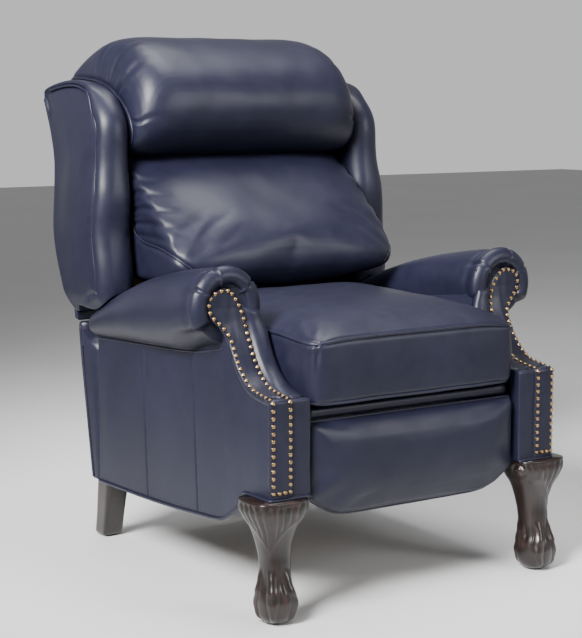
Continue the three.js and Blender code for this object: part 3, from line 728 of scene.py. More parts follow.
NAIL_PITCH = 0.0146
NAIL_RADIUS = 0.0047
NAIL_SIDES = 12
NAIL_FOOT = POST_BASE + 0.016
NAIL_EDGE = 0.0055  # nails stand this far inside the facing's edges
FOOT_ROW = np.linspace(0.3155, 0.3555, 4)[1:-1]  # x of the nails between the two rows' feet
CROWN = [(0.3440, 0.6310), (0.3530, 0.6345), (0.3640, 0.6355), (0.3760, 0.6335)]  # (x, z) over the head


def nail_places():
    """(place, outward direction) of one arm's nails: up the inner row, over the head, down the outer."""
    def row(edge, inward):
        spots = []
        for (y, z), (out_y, out_z) in zip(ROUTE, ROUTE_OUT):
            x = edge(z) + inward * NAIL_EDGE
            if NAIL_FOOT <= z <= HEAD_TOP - 0.012:
                h = float(front_height(np.array([x]), y, z)[0])
                spots.append((x, y + out_y * h, z + out_z * h))
        return spots

    crown = [(x, SCROLL_FACE - 0.005, z) for x, z in CROWN]
    route = spaced(np.array([*row(FACING_IN, 1)[::-1], *crown, *row(FACING_OUT, -1)]), NAIL_PITCH)
    middle = [(x, FRONT - 0.0062, NAIL_FOOT) for x in FOOT_ROW]
    places = []
    for spot in [*route, *middle]:
        out_y, out_z = ROUTE_OUT[np.argmin(np.abs(ROUTE - spot[1:]).sum(1))]
        facing = (0, out_y, out_z) if spot[2] < 0.560 else (0, -1, 0)
        places.append((np.array(spot), np.array(facing, float)))
    return places


def nails():
    """All nail heads of one arm, and how much painted shade each of their points gets: darker at each head's foot
    where it meets the leather, with some patina.
    """
    profile = [(1.10, -0.10, 1.0), (1.08, 0.10, 1.0), (0.93, 0.24, 0.75), (0.80, 0.42, 0.0),
               (0.52, 0.60, 0.0), (0.22, 0.68, 0.0)]  # width, height, darkness (painted shade at the foot where the head meets the leather, with patina)
    angles = full_turn(NAIL_SIDES)
    parts, rim = [], []
    for place, facing in nail_places():
        side = np.array([1.0, 0, 0])
        other = np.cross(facing, side)
        rings = []
        for wide, tall, shade_and_patina in profile:
            circle = np.outer(np.cos(angles), side) + np.outer(np.sin(angles), other)
            rings.append(place + facing * tall * NAIL_RADIUS + NAIL_RADIUS * wide * circle)
            rim += [shade_and_patina] * NAIL_SIDES
        rim += [1.0, 0.0]  # the middles of the two ends
        parts.append(loft(rings))
    return together(*parts), rim


def side_welt():
    ys = np.linspace(ARM_REAR, -0.318, 90)
    path = [(POST_OUTER + 0.0005, y, skirt_z(y) + 0.002) for y in ys]
    path += [(POST_OUTER + 0.0005, y, POST_BASE + 0.002) for y in np.linspace(-0.325, FRONT - 0.001, 10)]
    path += [(x, FRONT - 0.003, POST_BASE + 0.002) for x in np.linspace(POST_OUTER - 0.002, POST_INNER, 12)]
    return tube(path, WELT)


def arm_seam():
    """Seam where the roll's underside meets the side."""
    ys = np.linspace(ARM_REAR - 0.006, -0.232, 80)
    seam = [(POST_OUTER + 0.0012, y, roll_low(y) - 0.001) for y in ys]
    return tube(seam, 0.0022, 6)


def add_arms():
    make_pair("arm_side", arm_side(), "base", "leather", ["arm_cover"])
    make_pair("arm_roll", arm_roll(), "base", "leather")
    make_pair("arm_front", arm_front(), "base", "leather", ["arm_facing"])
    make_pair("arm_welt", together(side_welt(), arm_seam()), "base", "leather")
    shape, rim = nails()
    for piece in make_pair("trim_nails", shape, "base", "brass", ["nail_trim"]):
        # Each nail point's painted shade, darker at the foot where the head meets the leather.
        attribute = piece.data.attributes.new("rim", "FLOAT", "POINT")
        attribute.data.foreach_set("value", np.array(rim, np.float32))


# ---------- legs ----------
# Height, centre x, centre y, half width, half depth and squareness of the cabriole leg.
LEG_ROWS = [
    (0.0043, 0.335, -0.384, 0.024, 0.024, 2.0), (0.010, 0.335, -0.384, 0.0315, 0.0315, 2.0),
    (0.022, 0.335, -0.384, 0.0375, 0.0375, 2.0), (0.042, 0.335, -0.384, 0.0395, 0.0395, 2.0),
    (0.062, 0.335, -0.383, 0.0365, 0.0365, 2.0), (0.078, 0.335, -0.381, 0.0320, 0.0320, 2.1),
    (0.100, 0.334, -0.377, 0.0295, 0.0295, 2.3), (0.125, 0.333, -0.374, 0.0295, 0.0295, 2.5),
    (0.150, 0.333, -0.371, 0.0325, 0.0315, 2.6), (0.170, 0.333, -0.370, 0.0370, 0.0355, 2.7),
    (0.186, 0.333, -0.370, 0.0425, 0.0405, 2.8), (0.205, 0.333, -0.370, 0.0530, 0.0490, 3.0),
    (0.226, 0.334, -0.370, 0.0605, 0.0540, 3.2), (0.2437, 0.334, -0.370, 0.0600, 0.0530, 3.6)]
TOES = np.radians([0, 64, -64, 180])


def turn_from(angles, towards):
    return (angles - towards + np.pi) % (2 * np.pi) - np.pi


def front_leg():
    columns = list(zip(*LEG_ROWS))
    reads = [curve(list(zip(columns[0], column))) for column in columns[1:]]
    heights = np.concatenate([np.linspace(0.0043, 0.10, 54), np.linspace(0.1015, 0.2437, 76)])
    sides = 144
    angles = full_turn(sides)
    cos, sin = np.cos(angles), np.sin(angles)
    around = turn_from(angles, np.radians(-45))  # 0 faces out of the front corner
    rings = []
    for z in heights:
        cx, cy, hx, hy, square = (r(z) for r in reads)
        radius = (np.abs(cos / hx) ** square + np.abs(sin / hy) ** square) ** (-1 / square)
        # claws: a knuckled ridge down each toe, narrowing to a talon that grips the ball
        grip = smoothstep(0.004, 0.016, z) * (1 - smoothstep(0.088, 0.112, z))
        knuckle = 0.0048 + 0.0022 * bell(z - 0.070, 0.010) + 0.0016 * bell(z - 0.042, 0.010)
        wide = 0.13 + 0.15 * float(smoothstep(0.012, 0.060, z))
        spread = 1 + 0.22 * float(bell(z - 0.045, 0.026))
        toes = sum(bell(turn_from(around, toe * (spread if abs(toe) < 3 else 1)), wide) for toe in TOES)
        beside = sum(bell(turn_from(around, toe * spread + hand * (wide + 0.10)), 0.055)
                     for toe in TOES[:3] for hand in (1, -1))
        radius = radius + grip * (knuckle * np.clip(toes, 0, 1) - 0.0016 * np.clip(beside, 0, 1))
        webs = sum(bell(turn_from(around, w), 0.16) for w in np.radians([32, -32, 122, -122]))
        radius = radius - 0.0025 * webs * bell(z - 0.080, 0.014)
        # knee: flutes that fan from the top and end in a point on the shin
        point = 0.140 + 0.060 * np.clip(np.abs(around) / 1.2, 0, 1) ** 0.8
        carved = smoothstep(0, 0.030, z - point) * (1 - smoothstep(0.232, 0.240, z))
        fan = around * (1 + 0.10 * (0.24 - z) / 0.11)
        flutes = np.abs(np.cos(fan * 11.0)) ** 0.6
        radius = radius + carved * (0.0050 * flutes - 0.0034) * (1 - smoothstep(1.75, 2.05, np.abs(around)))
        edge = bell(z - point - 0.004, 0.006) * (1 - smoothstep(1.6, 1.9, np.abs(around)))
        radius = radius + 0.0012 * edge
        # rolled ears where the knee meets the skirt
        for ear in (1.95, -1.95):
            away = turn_from(around, ear)
            swirl = np.hypot(away * 0.050, z - 0.222)
            radius = radius + 0.0055 * bell(swirl, 0.017) - 0.0030 * bell(swirl - 0.0125, 0.003)
        radius = radius + 0.0018 * bell(around, 0.22) * bell(z - 0.118, 0.025)
        limit_x = 0.2625 if z > 0.185 else 0.0  # the knee's inner face is cut flat
        x = np.maximum(cx + radius * cos, limit_x)
        rings.append(np.stack([x, cy + radius * sin, np.full(sides, z)], 1))
    return loft(rings)


def rear_leg():
    """Square sabre leg, swept back to the floor."""
    centre_x = curve([(0.004, 0.301), (0.05, 0.304), (0.10, 0.308), (0.148, 0.310)])
    centre_y = curve([(0.004, 0.376), (0.05, 0.361), (0.10, 0.344), (0.148, 0.331)])
    half = curve([(0.004, 0.0245), (0.05, 0.025), (0.10, 0.0265), (0.148, 0.028)])
    sides, power = 48, 9
    angles = full_turn(sides)
    cos, sin = np.cos(angles), np.sin(angles)
    square = (np.abs(cos) ** power + np.abs(sin) ** power) ** (-1 / power)
    rings = []
    for z, shrink in [(0.0043, 0.88), (0.0060, 0.97), *((z, 1.0) for z in np.linspace(0.010, 0.148, 26))]:
        r = half(z) * shrink * square
        x, y = centre_x(z) + r * cos, centre_y(z) + r * sin
        rings.append(np.stack([x, y, np.full(sides, z)], 1))
    return loft(rings)


def add_legs():
    make_pair("cabriole_leg", front_leg(), "base", "walnut", ["front_leg"])
    make_pair("sabre_leg", rear_leg(), "base", "walnut", ["rear_leg"])


# ---------- lower back of the base ----------
BASE_TOP = high("base_back_panel").z
PANEL_THICK = 0.014
# Upper edge of the cheeks, clear of the tipping back.
CHEEK_TOP = curve([(0.303, 0.455), (0.335, 0.457), (0.370, 0.472), (0.395, 0.494)])
CHEEK_LEVEL = 0.448


def base_back():
    """Panel across the rear with a cheek behind each arm, one U in plan at each height."""
    outer_x, inner_x, round_radius = POST_OUTER - 0.004, POST_INNER + 0.002, 0.012
    near = ARM_REAR + 0.0004
    rings = []
    heights = [SKIRT, SKIRT + 0.001, SKIRT + 0.004, *np.linspace(SKIRT + 0.012, CHEEK_LEVEL, 26)]
    for z in heights:
        rear = rear_y(z) - (0.003 if z <= SKIRT + 0.0005 else 0)
        swell = 0.004 * math.sin(math.pi * (z - SKIRT) / (BASE_TOP - SKIRT))
        arc = [(outer_x + round_radius * (math.cos(a) - 1), rear + round_radius * (math.sin(a) - 1))
               for a in np.radians(np.linspace(0, 90, 7))]
        straight = [(x, rear + swell * (1 - (x / outer_x) ** 2)) for x in np.linspace(0.32, -0.32, 27)]
        right = [(outer_x, near), (outer_x, (near + rear) / 2), *arc]
        outside = [*right, *straight, *[(-x, y) for x, y in reversed(right)]]
        inside = [(-inner_x, near), (-inner_x, rear - PANEL_THICK)]
        inside += [(x, rear - PANEL_THICK) for x in np.linspace(-0.20, 0.20, 5)]
        inside += [(inner_x, rear - PANEL_THICK), (inner_x, near)]
        lift = float(smoothstep(0.40, CHEEK_LEVEL, z))
        rings.append([(x, y, z + lift * (CHEEK_TOP(y) - CHEEK_LEVEL)) for x, y in outside + inside])
    slab = []
    for z, inset in [(0.446, 0), *((z, 0) for z in np.linspace(0.452, BASE_TOP - 0.004, 8)),
                     (BASE_TOP, 0.004)]:
        rear = rear_y(z)
        half = outer_x - inset
        line = [(x, rear - inset) for x in np.linspace(half, -half, 29)]
        back_line = [(x, rear - PANEL_THICK + inset) for x in np.linspace(-half, half, 29)]
        slab.append([(x, y, z) for x, y in line + back_line])
    return together(closed_u(rings), loft(slab))


def closed_u(rings):
    """Skin through U-shaped rings, with one face over each end."""
    count = len(rings[0])
    points = [p for ring in rings for p in ring]
    ends = [tuple(range(count - 1, -1, -1)), tuple(range(len(points) - count, len(points)))]
    return points, grid_faces(len(rings), count, wrap=True) + ends


def base_welts():
    lines = []
    heights = np.linspace(SKIRT + 0.002, BASE_TOP - 0.01, 40)
    for x in (POST_OUTER - 0.006, 0.006 - POST_OUTER):
        lines.append([(x, rear_y(z) - 0.001, z) for z in heights])
    bottom = [(x, rear_y(SKIRT) - 0.001, SKIRT + 0.002) for x in np.linspace(-0.354, 0.354, 40)]
    return together(*[tube(line, WELT) for line in [*lines, bottom]])


def add_base_back():
    make("lower_back_panel", base_back(), "base", "leather", ["base_back_panel"])
    make("lower_back_welts", base_welts(), "base", "leather")


# ---------- wings ----------
# Outline of the wing seen from the side, (y, z), from the lower front corner up the front and round.
WING = [
    (0.224, 0.549), (0.214, 0.580), (0.213, 0.615), (0.217, 0.650), (0.225, 0.690), (0.228, 0.722),
    (0.224, 0.760), (0.222, 0.800), (0.231, 0.845), (0.234, 0.885), (0.232, 0.930), (0.237, 0.962),
    (0.256, 0.992), (0.288, 1.020), (0.330, 1.040), (0.378, 1.049), (0.448, 1.046), (0.530, 1.032),
    (0.540, 1.018), (0.512, 0.960), (0.492, 0.915), (0.468, 0.823), (0.461, 0.764), (0.456, 0.690),
    (0.436, 0.620), (0.408, 0.556), (0.388, 0.530), (0.372, 0.529), (0.300, 0.538)]
WING_X = curve([
    (0.533, 0.378), (0.580, 0.392), (0.700, 0.394), (0.800, 0.387), (0.870, 0.378), (1.046, 0.372)])
WING_INNER = 0.3005
RECLINE = math.radians(30)
SEAT_FORWARD, SEAT_RISE = 0.060, 0.016  # how far the seat has carried the back at that angle
FRONT_BORDER, TOP_BORDER = 0.037, 0.013  # widths of the rolled border outside the wing's welt


def plate(loop, centre, steps, front, rear, place):
    """Closed pad over an outline. front(p, d, spot) and rear(p, d, spot) give its two faces at points p, a
    distance d in from their nearest spots on the outline; place(u, v, w) turns the values into points."""
    rings = []
    centre = np.asarray(centre, float)
    reach = np.linalg.norm(loop - centre, axis=1)[:, None]
    inward = (centre - loop) / reach
    for step in steps:
        rings.append(loop + inward * np.minimum(step, reach * 0.5))
    last = rings[-1]
    for share in np.linspace(0.12, 0.94, 13):
        rings.append(last + (centre - last) * share)
    flat = np.concatenate(rings)
    distance, spot, _ = nearest(flat, closed(loop))
    count, sides = len(rings), len(loop)
    faces, points = [], []
    for face, turned in ((front, False), (rear, True)):
        start = len(points)
        w = face(flat, distance, spot)
        points += place(flat[:, 0], flat[:, 1], w).tolist()
        middle = face(centre[None, :], np.array([reach.min()]), centre[None, :])
        points += place(centre[:1], centre[1:], middle).tolist()
        shell = grid_faces(count, sides, wrap=True, start=start)
        tip, inner = start + count * sides, start + (count - 1) * sides
        shell += [(inner + i, inner + (i + 1) % sides, tip) for i in range(sides)]
        faces += [tuple(reversed(f)) for f in shell] if turned else shell
    half = count * sides + 1
    faces += [((i + 1) % sides, i, i + half, (i + 1) % sides + half) for i in range(sides)]
    return points, faces


PLATE_STEPS = (0, 0.0008, 0.002, 0.004, 0.0065, 0.0095, 0.013, 0.017, 0.021, 0.025, 0.028, 0.0305, 0.0325,
               0.034, 0.0355, 0.0375, 0.040, 0.044, 0.050)


def border_parts(points, spot):
    """Shares of the wing's front and top borders at points with these nearest spots on the outline."""
    top = smoothstep(0.275, 0.335, points[:, 0]) * smoothstep(0.955, 0.995, points[:, 1])
    front = (1 - smoothstep(0.26, 0.34, spot[:, 0])) * smoothstep(0.545, 0.580, points[:, 1]) * (1 - top)
    return front, top


def above_roll(x, y, z):
    """Height z, raised where the wing's foot would sink into the arm's roll, upright or tipped back."""
    pivot_y, pivot_z = BACK_PIVOT.y - ORIGIN_Y, BACK_PIVOT.z
    for share in np.linspace(0, 1, 5):
        cos, sin = math.cos(RECLINE * share), math.sin(RECLINE * share)
        moved_y = pivot_y + (y - pivot_y) * cos + (z - pivot_z) * sin - SEAT_FORWARD * share
        moved_z = pivot_z - (y - pivot_y) * sin + (z - pivot_z) * cos + SEAT_RISE * share
        across = np.clip((x - roll_x(moved_y)) / (roll_half(moved_y) + 0.004), -1, 1)
        middle = (roll_top(moved_y) + roll_low(moved_y)) / 2
        tall = (roll_top(moved_y) - roll_low(moved_y)) / 2 + 0.004
        short = middle + tall * np.sqrt(1 - across**2) - moved_z
        under = (np.abs(across) < 1) & (moved_y < ARM_REAR + 0.004)
        z = np.where(under, z + np.clip(short, 0, None) / cos, z)
    return z


WING_LOOP = closed_spaced(rounded_loop(WING, 2), 220)


def wing_pad():
    def outer(p, d, spot):
        front, top = border_parts(p, spot)
        rest = 1 - front - top
        roll = edge_drop(d, 0.032) * front + edge_drop(d, 0.010) * top + edge_drop(d, 0.007) * rest
        inset = FRONT_BORDER * front + TOP_BORDER * top + 0.02 * rest
        groove = 0.0062 * bell(d - inset, 0.0052) * (front + top)
        puff = (0.0045 * front + 0.002 * top) * np.sin(np.pi * np.clip(d / inset, 0, 1))
        field = 0.0065 * smoothstep(0.02, 0.10, d)
        spots = np.stack([p[:, 0], p[:, 1], d], 1)
        return WING_X(p[:, 1]) - roll - groove + puff + field - 0.003 + 0.0013 * wobble(spots, 13, 5)

    def inner(p, d, spot):
        front, top = border_parts(p, spot)
        flat = 0.006 + 0.030 * front + 0.046 * top
        return WING_INNER + flat - np.sqrt(flat**2 - np.clip(flat - d, 0, flat) ** 2)

    def place(y, z, x):
        return np.stack([x, y, above_roll(x, y, z)], 1)

    return plate(WING_LOOP, (0.365, 0.800), PLATE_STEPS, outer, inner, place)


def wing_welt():
    """Piping set in from the wing's front and top edge."""
    ahead = unit(np.roll(WING_LOOP, -1, 0) - np.roll(WING_LOOP, 1, 0))
    front, top = border_parts(WING_LOOP, WING_LOOP)
    inset = FRONT_BORDER * front + TOP_BORDER * top
    line = WING_LOOP + np.stack([ahead[:, 1], -ahead[:, 0]], 1) * inset[:, None]
    bordered = (front + top > 0.6) & (WING_LOOP[:, 0] < 0.505)
    path = [(WING_X(z) - 0.0036, y, z) for y, z in line[bordered]]
    path.sort(key=lambda spot: math.atan2(spot[1] - 0.42, spot[2] - 0.62))
    return tube(rounded_path(path, 1), 0.0030)


def add_wings():
    make_pair("wing", wing_pad(), "back", "leather", ["wing_pad"])
    make_pair("wing_welt", wing_welt(), "back", "leather")


# ---------- outside back ----------
OUTSIDE_X = high("outside_back_panel").x
OUTSIDE_LOW = BASE_TOP + 0.006
OUTSIDE_HIGH = high("outside_back_panel").z


def outside_back():
    near = np.array([0, 0.001, 0.003, 0.006, 0.010, 0.016])
    xs = sorted_stops(-OUTSIDE_X + near, OUTSIDE_X - near, np.linspace(-0.34, 0.34, 41))
    zs = sorted_stops(OUTSIDE_LOW + near, OUTSIDE_HIGH - near,
                      np.linspace(OUTSIDE_LOW + 0.03, OUTSIDE_HIGH - 0.03, 36))
    rear, front = [], []
    for z in zs:
        distance = np.minimum(OUTSIDE_X - np.abs(xs), min(z - OUTSIDE_LOW, OUTSIDE_HIGH - z))
        climbed = (z - OUTSIDE_LOW) / (OUTSIDE_HIGH - OUTSIDE_LOW)
        swell = 0.008 * np.sin(np.pi * climbed) * (1 - (xs / OUTSIDE_X) ** 2)
        spots = np.stack([xs, xs * 0, xs * 0 + z], 1)
        y = rear_y(z)
        skin = y - edge_drop(distance, 0.008) + swell + 0.0012 * wobble(spots, 9, 2)
        rear.append(np.stack([xs, skin, xs * 0 + z], 1))
        front.append(np.stack([xs, xs * 0 + (y - PANEL_THICK), xs * 0 + z], 1))
    return two_skins(rear, front)


def outside_welt():
    half = OUTSIDE_X - 0.001
    heights = np.linspace(OUTSIDE_LOW + 0.004, OUTSIDE_HIGH - 0.006, 50)
    across = np.linspace(half - 0.006, -half + 0.006, 40)
    up = [(half, rear_y(z) - 0.008, z) for z in heights]
    down = [(-x, y, z) for x, y, z in reversed(up)]
    top = [(x, rear_y(OUTSIDE_HIGH) - 0.006, OUTSIDE_HIGH) for x in across]
    bottom = [(-x, rear_y(OUTSIDE_LOW) - 0.006, OUTSIDE_LOW) for x in across]
    return tube([*up, *top, *down, *bottom], WELT, closed=True)


def add_outside_back():
    make("outside_back", outside_back(), "back", "leather", ["outside_back_panel"])
    make("outside_back_welt", outside_welt(), "back", "leather")


# ---------- padded pieces ----------
CLOTH_FRAMES = 20


def remeshed(name, shape, voxel):
    piece = make(name, shape, None, "leather")
    remesh = piece.modifiers.new("remesh", "REMESH")
    remesh.mode = "VOXEL"
    remesh.voxel_size = voxel
    apply_modifiers(piece)
    return piece


def apply_modifiers(piece):
    graph = bpy.context.evaluated_depsgraph_get()
    mesh = bpy.data.meshes.new_from_object(piece.evaluated_get(graph))
    piece.modifiers.clear()
    old = piece.data
    piece.data = mesh
    bpy.data.meshes.remove(old)
    piece.data.name = piece.name
    piece.data.shade_smooth()


def evened(piece, values, rounds):
    """Values, one row a point, averaged a little with those of their neighbours."""
    ends = np.empty(len(piece.data.edges) * 2, int)
    piece.data.edges.foreach_get("vertices", ends)
    a, b = ends.reshape(-1, 2).T
    degree = np.bincount(ends, minlength=len(values))[:, None]
    for _ in range(rounds):
        total = np.zeros_like(values)
        np.add.at(total, a, values[b])
        np.add.at(total, b, values[a])
        values = 0.5 * values + 0.5 * total / degree
    return values


def plump(piece, seams, width, also_held, pressure, cap):
    """Blows the pad up as cloth, held along its seams and where also_held says. Limits how far any point
    has moved, then subdivides the pad."""
    rest = points_of(piece)
    pinned = also_held(rest)
    for seam in seams:
        pinned = pinned | (nearest(rest, seam)[0] < width)
    held = piece.vertex_groups.new(name="held")
    held.add(np.nonzero(pinned)[0].tolist(), 1.0, "REPLACE")
    cloth = piece.modifiers.new("cloth", "CLOTH")
    cloth.settings.quality = 4
    cloth.settings.use_pressure = True
    cloth.settings.uniform_pressure_force = pressure
    cloth.settings.vertex_group_mass = "held"
    cloth.settings.tension_stiffness = cloth.settings.compression_stiffness = 18
    cloth.settings.effector_weights.gravity = 0
    cloth.point_cache.frame_start = 1
    cloth.point_cache.frame_end = CLOTH_FRAMES
    for step in range(1, CLOTH_FRAMES + 1):
        bpy.context.scene.frame_set(step)
    apply_modifiers(piece)
    bpy.context.scene.frame_set(1)
    piece.vertex_groups.clear()
    moved = evened(piece, points_of(piece) - rest, 5)
    length = np.linalg.norm(moved, axis=1)
    scale = cap * np.tanh(length / cap) / np.maximum(length, 1e-9)
    set_points(piece, rest + moved * scale[:, None])
    step = piece.modifiers.new("subdivision", "SUBSURF")
    step.levels = step.render_levels = 1
    apply_modifiers(piece)


def lifted(piece, path, out, round_trip):
    """The path moved onto the nearest spot of the piece's surface, and out from it."""
    tree = BVHTree.FromObject(piece, bpy.context.evaluated_depsgraph_get())
    moved = []
    for x, y, z in path:
        spot, normal, _, _ = tree.find_nearest(Vector((x, y + ORIGIN_Y, z)))
        spot = spot + normal * out
        moved.append((spot.x, spot.y - ORIGIN_Y, spot.z))
    moved = np.array(moved)
    if round_trip:
        return (np.roll(moved, 1, 0) + 2 * moved + np.roll(moved, -1, 0)) / 4
    eased = moved.copy()
    eased[1:-1] = (moved[:-2] + 2 * moved[1:-1] + moved[2:]) / 4
    return eased


def seam_welts(name, piece, seams, out, radius, body, round_trip=True):
    """Piping on the piece's surface along its seams. A closed seam has its first point again at its end."""
    paths = [lifted(piece, seam[:-1] if round_trip else seam, out, round_trip) for seam in seams]
    make(name, together(*[tube(path, radius, closed=round_trip) for path in paths]), body, "leather")


def crease(piece, points, start, end, width, depth):
    """Depth of one fold that runs over the surface from start to end and dies away there."""
    line = np.linspace(start, end, 11)
    away = line - points.mean(0)
    line += 0.05 * np.sin(np.linspace(0, np.pi, 11))[:, None] * away / np.linalg.norm(away, axis=1)[:, None]
    best, _, share = nearest(points, lifted(piece, line, 0.0, False))
    spread = width * (0.55 + 0.9 * share)
    fade = (1 - share) ** 0.8
    return depth * fade * (bell(best, spread) - 0.35 * bell(best - 1.9 * spread, spread))


def push_in(piece, folds, seams, seam_width, seam_depth, ripple, seed):
    """Presses folds and a valley along each seam into the surface, with a little slow unevenness."""
    points, normals = points_of(piece), vertex_rows(piece, "normal")
    depth = np.zeros(len(points))
    for start, end, width, amount in folds:
        depth += crease(piece, points, start, end, width, amount)
    for seam in seams:
        depth += seam_depth * bell(nearest(points, seam)[0], seam_width)
    depth -= ripple * wobble(points, 14, seed)
    set_points(piece, points - normals * depth[:, None])


# ---------- seat cushion ----------
SEAT_WELT_LOW, SEAT_WELT_HIGH = CUSHION_BASE + 0.005, 0.546
SEAT_FRONT = FRONT + 0.001


def seat_welt_height(x, y):
    """The top welt dips a little at the front corners and rises to the rear."""
    corner = smoothstep(0.17, 0.255, np.abs(x)) * (1 - smoothstep(SEAT_FRONT, SEAT_FRONT + 0.12, y))
    return SEAT_WELT_HIGH - 0.006 * corner + 0.014 * smoothstep(-0.3, 0.1, y)


def seat_loop(grow=0.0):
    """The cushion from above, as (x, y) points, counter-clockwise from the rear left corner."""
    x, front, rear, radius = CUSHION_X - 0.001 + grow, SEAT_FRONT - grow, CUSHION_REAR - 0.004, 0.026
    loop = []
    for cx, cy, first in [(x - radius, rear - radius, 0), (-x + radius, rear - radius, 90),
                          (-x + radius, front + radius, 180), (x - radius, front + radius, 270)]:
        loop += [(cx + radius * math.cos(math.radians(a)), cy + radius * math.sin(math.radians(a)))
                 for a in np.linspace(first, first + 90, 7)]
    return closed_spaced(loop, 92)


def seat_shape():
    loop = seat_loop()
    middle = loop.mean(0)
    rings = []
    for z, grow in [(CUSHION_BASE + 0.001, -0.012), (SEAT_WELT_LOW, 0.0), (0.440, 0.001), (0.465, 0.002),
                    (0.495, 0.002), (0.520, 0.001)]:
        ring = seat_loop(grow)
        rings.append(np.column_stack([ring, np.full(len(ring), z)]))
    rings.append(np.column_stack([loop, seat_welt_height(loop[:, 0], loop[:, 1])]))
    for scale in (0.985, 0.96, 0.93, 0.89, 0.84, 0.78, 0.70, 0.60, 0.48, 0.34, 0.18, 0.05):
        ring = middle + (loop - middle) * scale
        base = seat_welt_height(loop[:, 0], loop[:, 1])
        rise = (0.600 - base) * (1 - scale**3.4)
        rings.append(np.column_stack([ring, base + rise]))
    return loft(rings)


def seat_cushion():
    piece = remeshed("seat_pad", seat_shape(), 0.0075)
    loop = seat_loop()
    seams = [closed(np.column_stack([loop, height])) for height in
             (seat_welt_height(loop[:, 0], loop[:, 1]), np.full(len(loop), SEAT_WELT_LOW))]
    plump(piece, seams, 0.0062, lambda p: (p[:, 2] < CUSHION_BASE + 0.006) | (p[:, 1] > CUSHION_REAR - 0.03),
          2.2, 0.022)
    folds = []
    for side in (1, -1):
        x = side * (CUSHION_X - 0.004)
        front_corner = (x, SEAT_FRONT + 0.004, SEAT_WELT_HIGH)
        folds += [(front_corner, (x * 0.80, SEAT_FRONT + 0.10, 0.585), 0.010, 0.0045),
                  (front_corner, (x * 0.90, SEAT_FRONT + 0.14, 0.580), 0.008, 0.0035),
                  (front_corner, (x * 0.70, SEAT_FRONT + 0.05, 0.580), 0.009, 0.0030),
                  ((x * 0.985, SEAT_FRONT, 0.540), (x * 0.965, SEAT_FRONT, 0.440), 0.006, 0.0030),
                  ((x * 0.93, SEAT_FRONT, 0.541), (x * 0.90, SEAT_FRONT, 0.470), 0.005, 0.0020)]
    push_in(piece, folds, seams, 0.006, 0.0035, 0.0013, 1)
    points = points_of(piece)
    points[:, 2] = np.maximum(points[:, 2], CUSHION_BASE)  # nothing hangs below what the cushion lies on
    set_points(piece, points)
    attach(piece, "seat")
    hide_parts("seat_cushion")
    seam_welts("seat_pad_welts", piece, seams, 0.0015, WELT, "seat")


# ---------- back pillows ----------
# The headrest roll and the lumbar pillow seen from the side, (y, z), and the seam loop at their ends.
HEADREST = [
    (0.440, 0.905), (0.390, 0.880), (0.318, 0.875), (0.252, 0.884), (0.203, 0.925), (0.189, 0.985),
    (0.200, 1.045), (0.246, 1.100), (0.312, 1.136), (0.385, 1.148), (0.458, 1.139), (0.520, 1.106),
    (0.556, 1.055), (0.552, 1.010), (0.490, 1.000)]
HEADREST_END = [
    (0.440, 0.905), (0.395, 0.888), (0.330, 0.885), (0.272, 0.892), (0.246, 0.918), (0.250, 0.952),
    (0.276, 0.984), (0.312, 1.010), (0.350, 1.030), (0.398, 1.044), (0.455, 1.050), (0.508, 1.054),
    (0.550, 1.053), (0.550, 1.012), (0.490, 1.000)]
LUMBAR = [
    (0.395, 0.845), (0.372, 0.880), (0.328, 0.892), (0.272, 0.880), (0.190, 0.830), (0.112, 0.768),
    (0.050, 0.712), (0.022, 0.664), (0.034, 0.620), (0.085, 0.600), (0.200, 0.600), (0.330, 0.604),
    (0.368, 0.640)]
LUMBAR_END = [
    (0.395, 0.840), (0.375, 0.860), (0.335, 0.868), (0.290, 0.856), (0.232, 0.816), (0.172, 0.762),
    (0.118, 0.712), (0.086, 0.672), (0.092, 0.636), (0.130, 0.615), (0.210, 0.612), (0.330, 0.614),
    (0.366, 0.640)]


def cross_roll(outline, end_outline, half_x, round_x, power):
    """The outline carried across the chair, rounding over to a smaller seam loop at each end. Gives the
    closed shape and that loop."""
    count = 110
    full = rounded_loop(outline, 3)
    loop = closed_spaced(full, count)
    end = closed_spaced(full, count, rounded_loop(end_outline, 3))
    middle = end.mean(0)
    stations = [(x, 0.0, 1.0) for x in np.linspace(0, half_x - round_x, 9)]
    for share in 1 - (1 - np.linspace(0.06, 1, 18)) ** 2.4:
        stations.append((half_x - round_x + round_x * share, 1 - math.sqrt(max(0.0, 1 - share**power)), 1.0))
    stations += [(half_x, 1.0, 0.97), (half_x + 0.0005, 1.0, 0.85), (half_x + 0.0008, 1.0, 0.4)]
    stations = [(-x, b, k) for x, b, k in reversed(stations[1:])] + stations
    rings = []
    for x, blend, shrink in stations:
        flat = loop + (end - loop) * blend
        flat = middle + (flat - middle) * shrink
        rings.append(np.column_stack([np.full(count, x), flat]))
    return loft(rings), end


def headrest():
    half = BACK_X - 0.0015
    shape, end = cross_roll(HEADREST, HEADREST_END, half, 0.150, 4.5)
    piece = remeshed("headrest_roll", shape, 0.0075)
    seams = [[(side * (half - 0.001), y, z) for y, z in closed(end)] for side in (1, -1)]
    plump(piece, seams, 0.0065, lambda p: (p[:, 1] > 0.505) | (np.abs(p[:, 0]) > half - 0.002), 2.4, 0.014)
    folds = []
    for side in (1, -1):
        for (y0, z0), (y1, z1), inward, width, depth in [
                ((0.350, 1.030), (0.330, 1.120), 0.075, 0.0075, 0.0050),
                ((0.318, 1.014), (0.268, 1.092), 0.080, 0.0080, 0.0048),
                ((0.395, 1.044), (0.400, 1.136), 0.055, 0.0070, 0.0036),
                ((0.248, 0.958), (0.192, 0.972), 0.050, 0.0050, 0.0042)]:
            folds.append(((side * half, y0, z0), (side * (half - inward), y1, z1), width, depth))
    push_in(piece, folds, seams, 0.007, 0.0040, 0.0016, 2)
    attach(piece, "back")
    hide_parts("headrest_cushion")
    seam_welts("headrest_welts", piece, seams, 0.0012, 0.0034, "back")


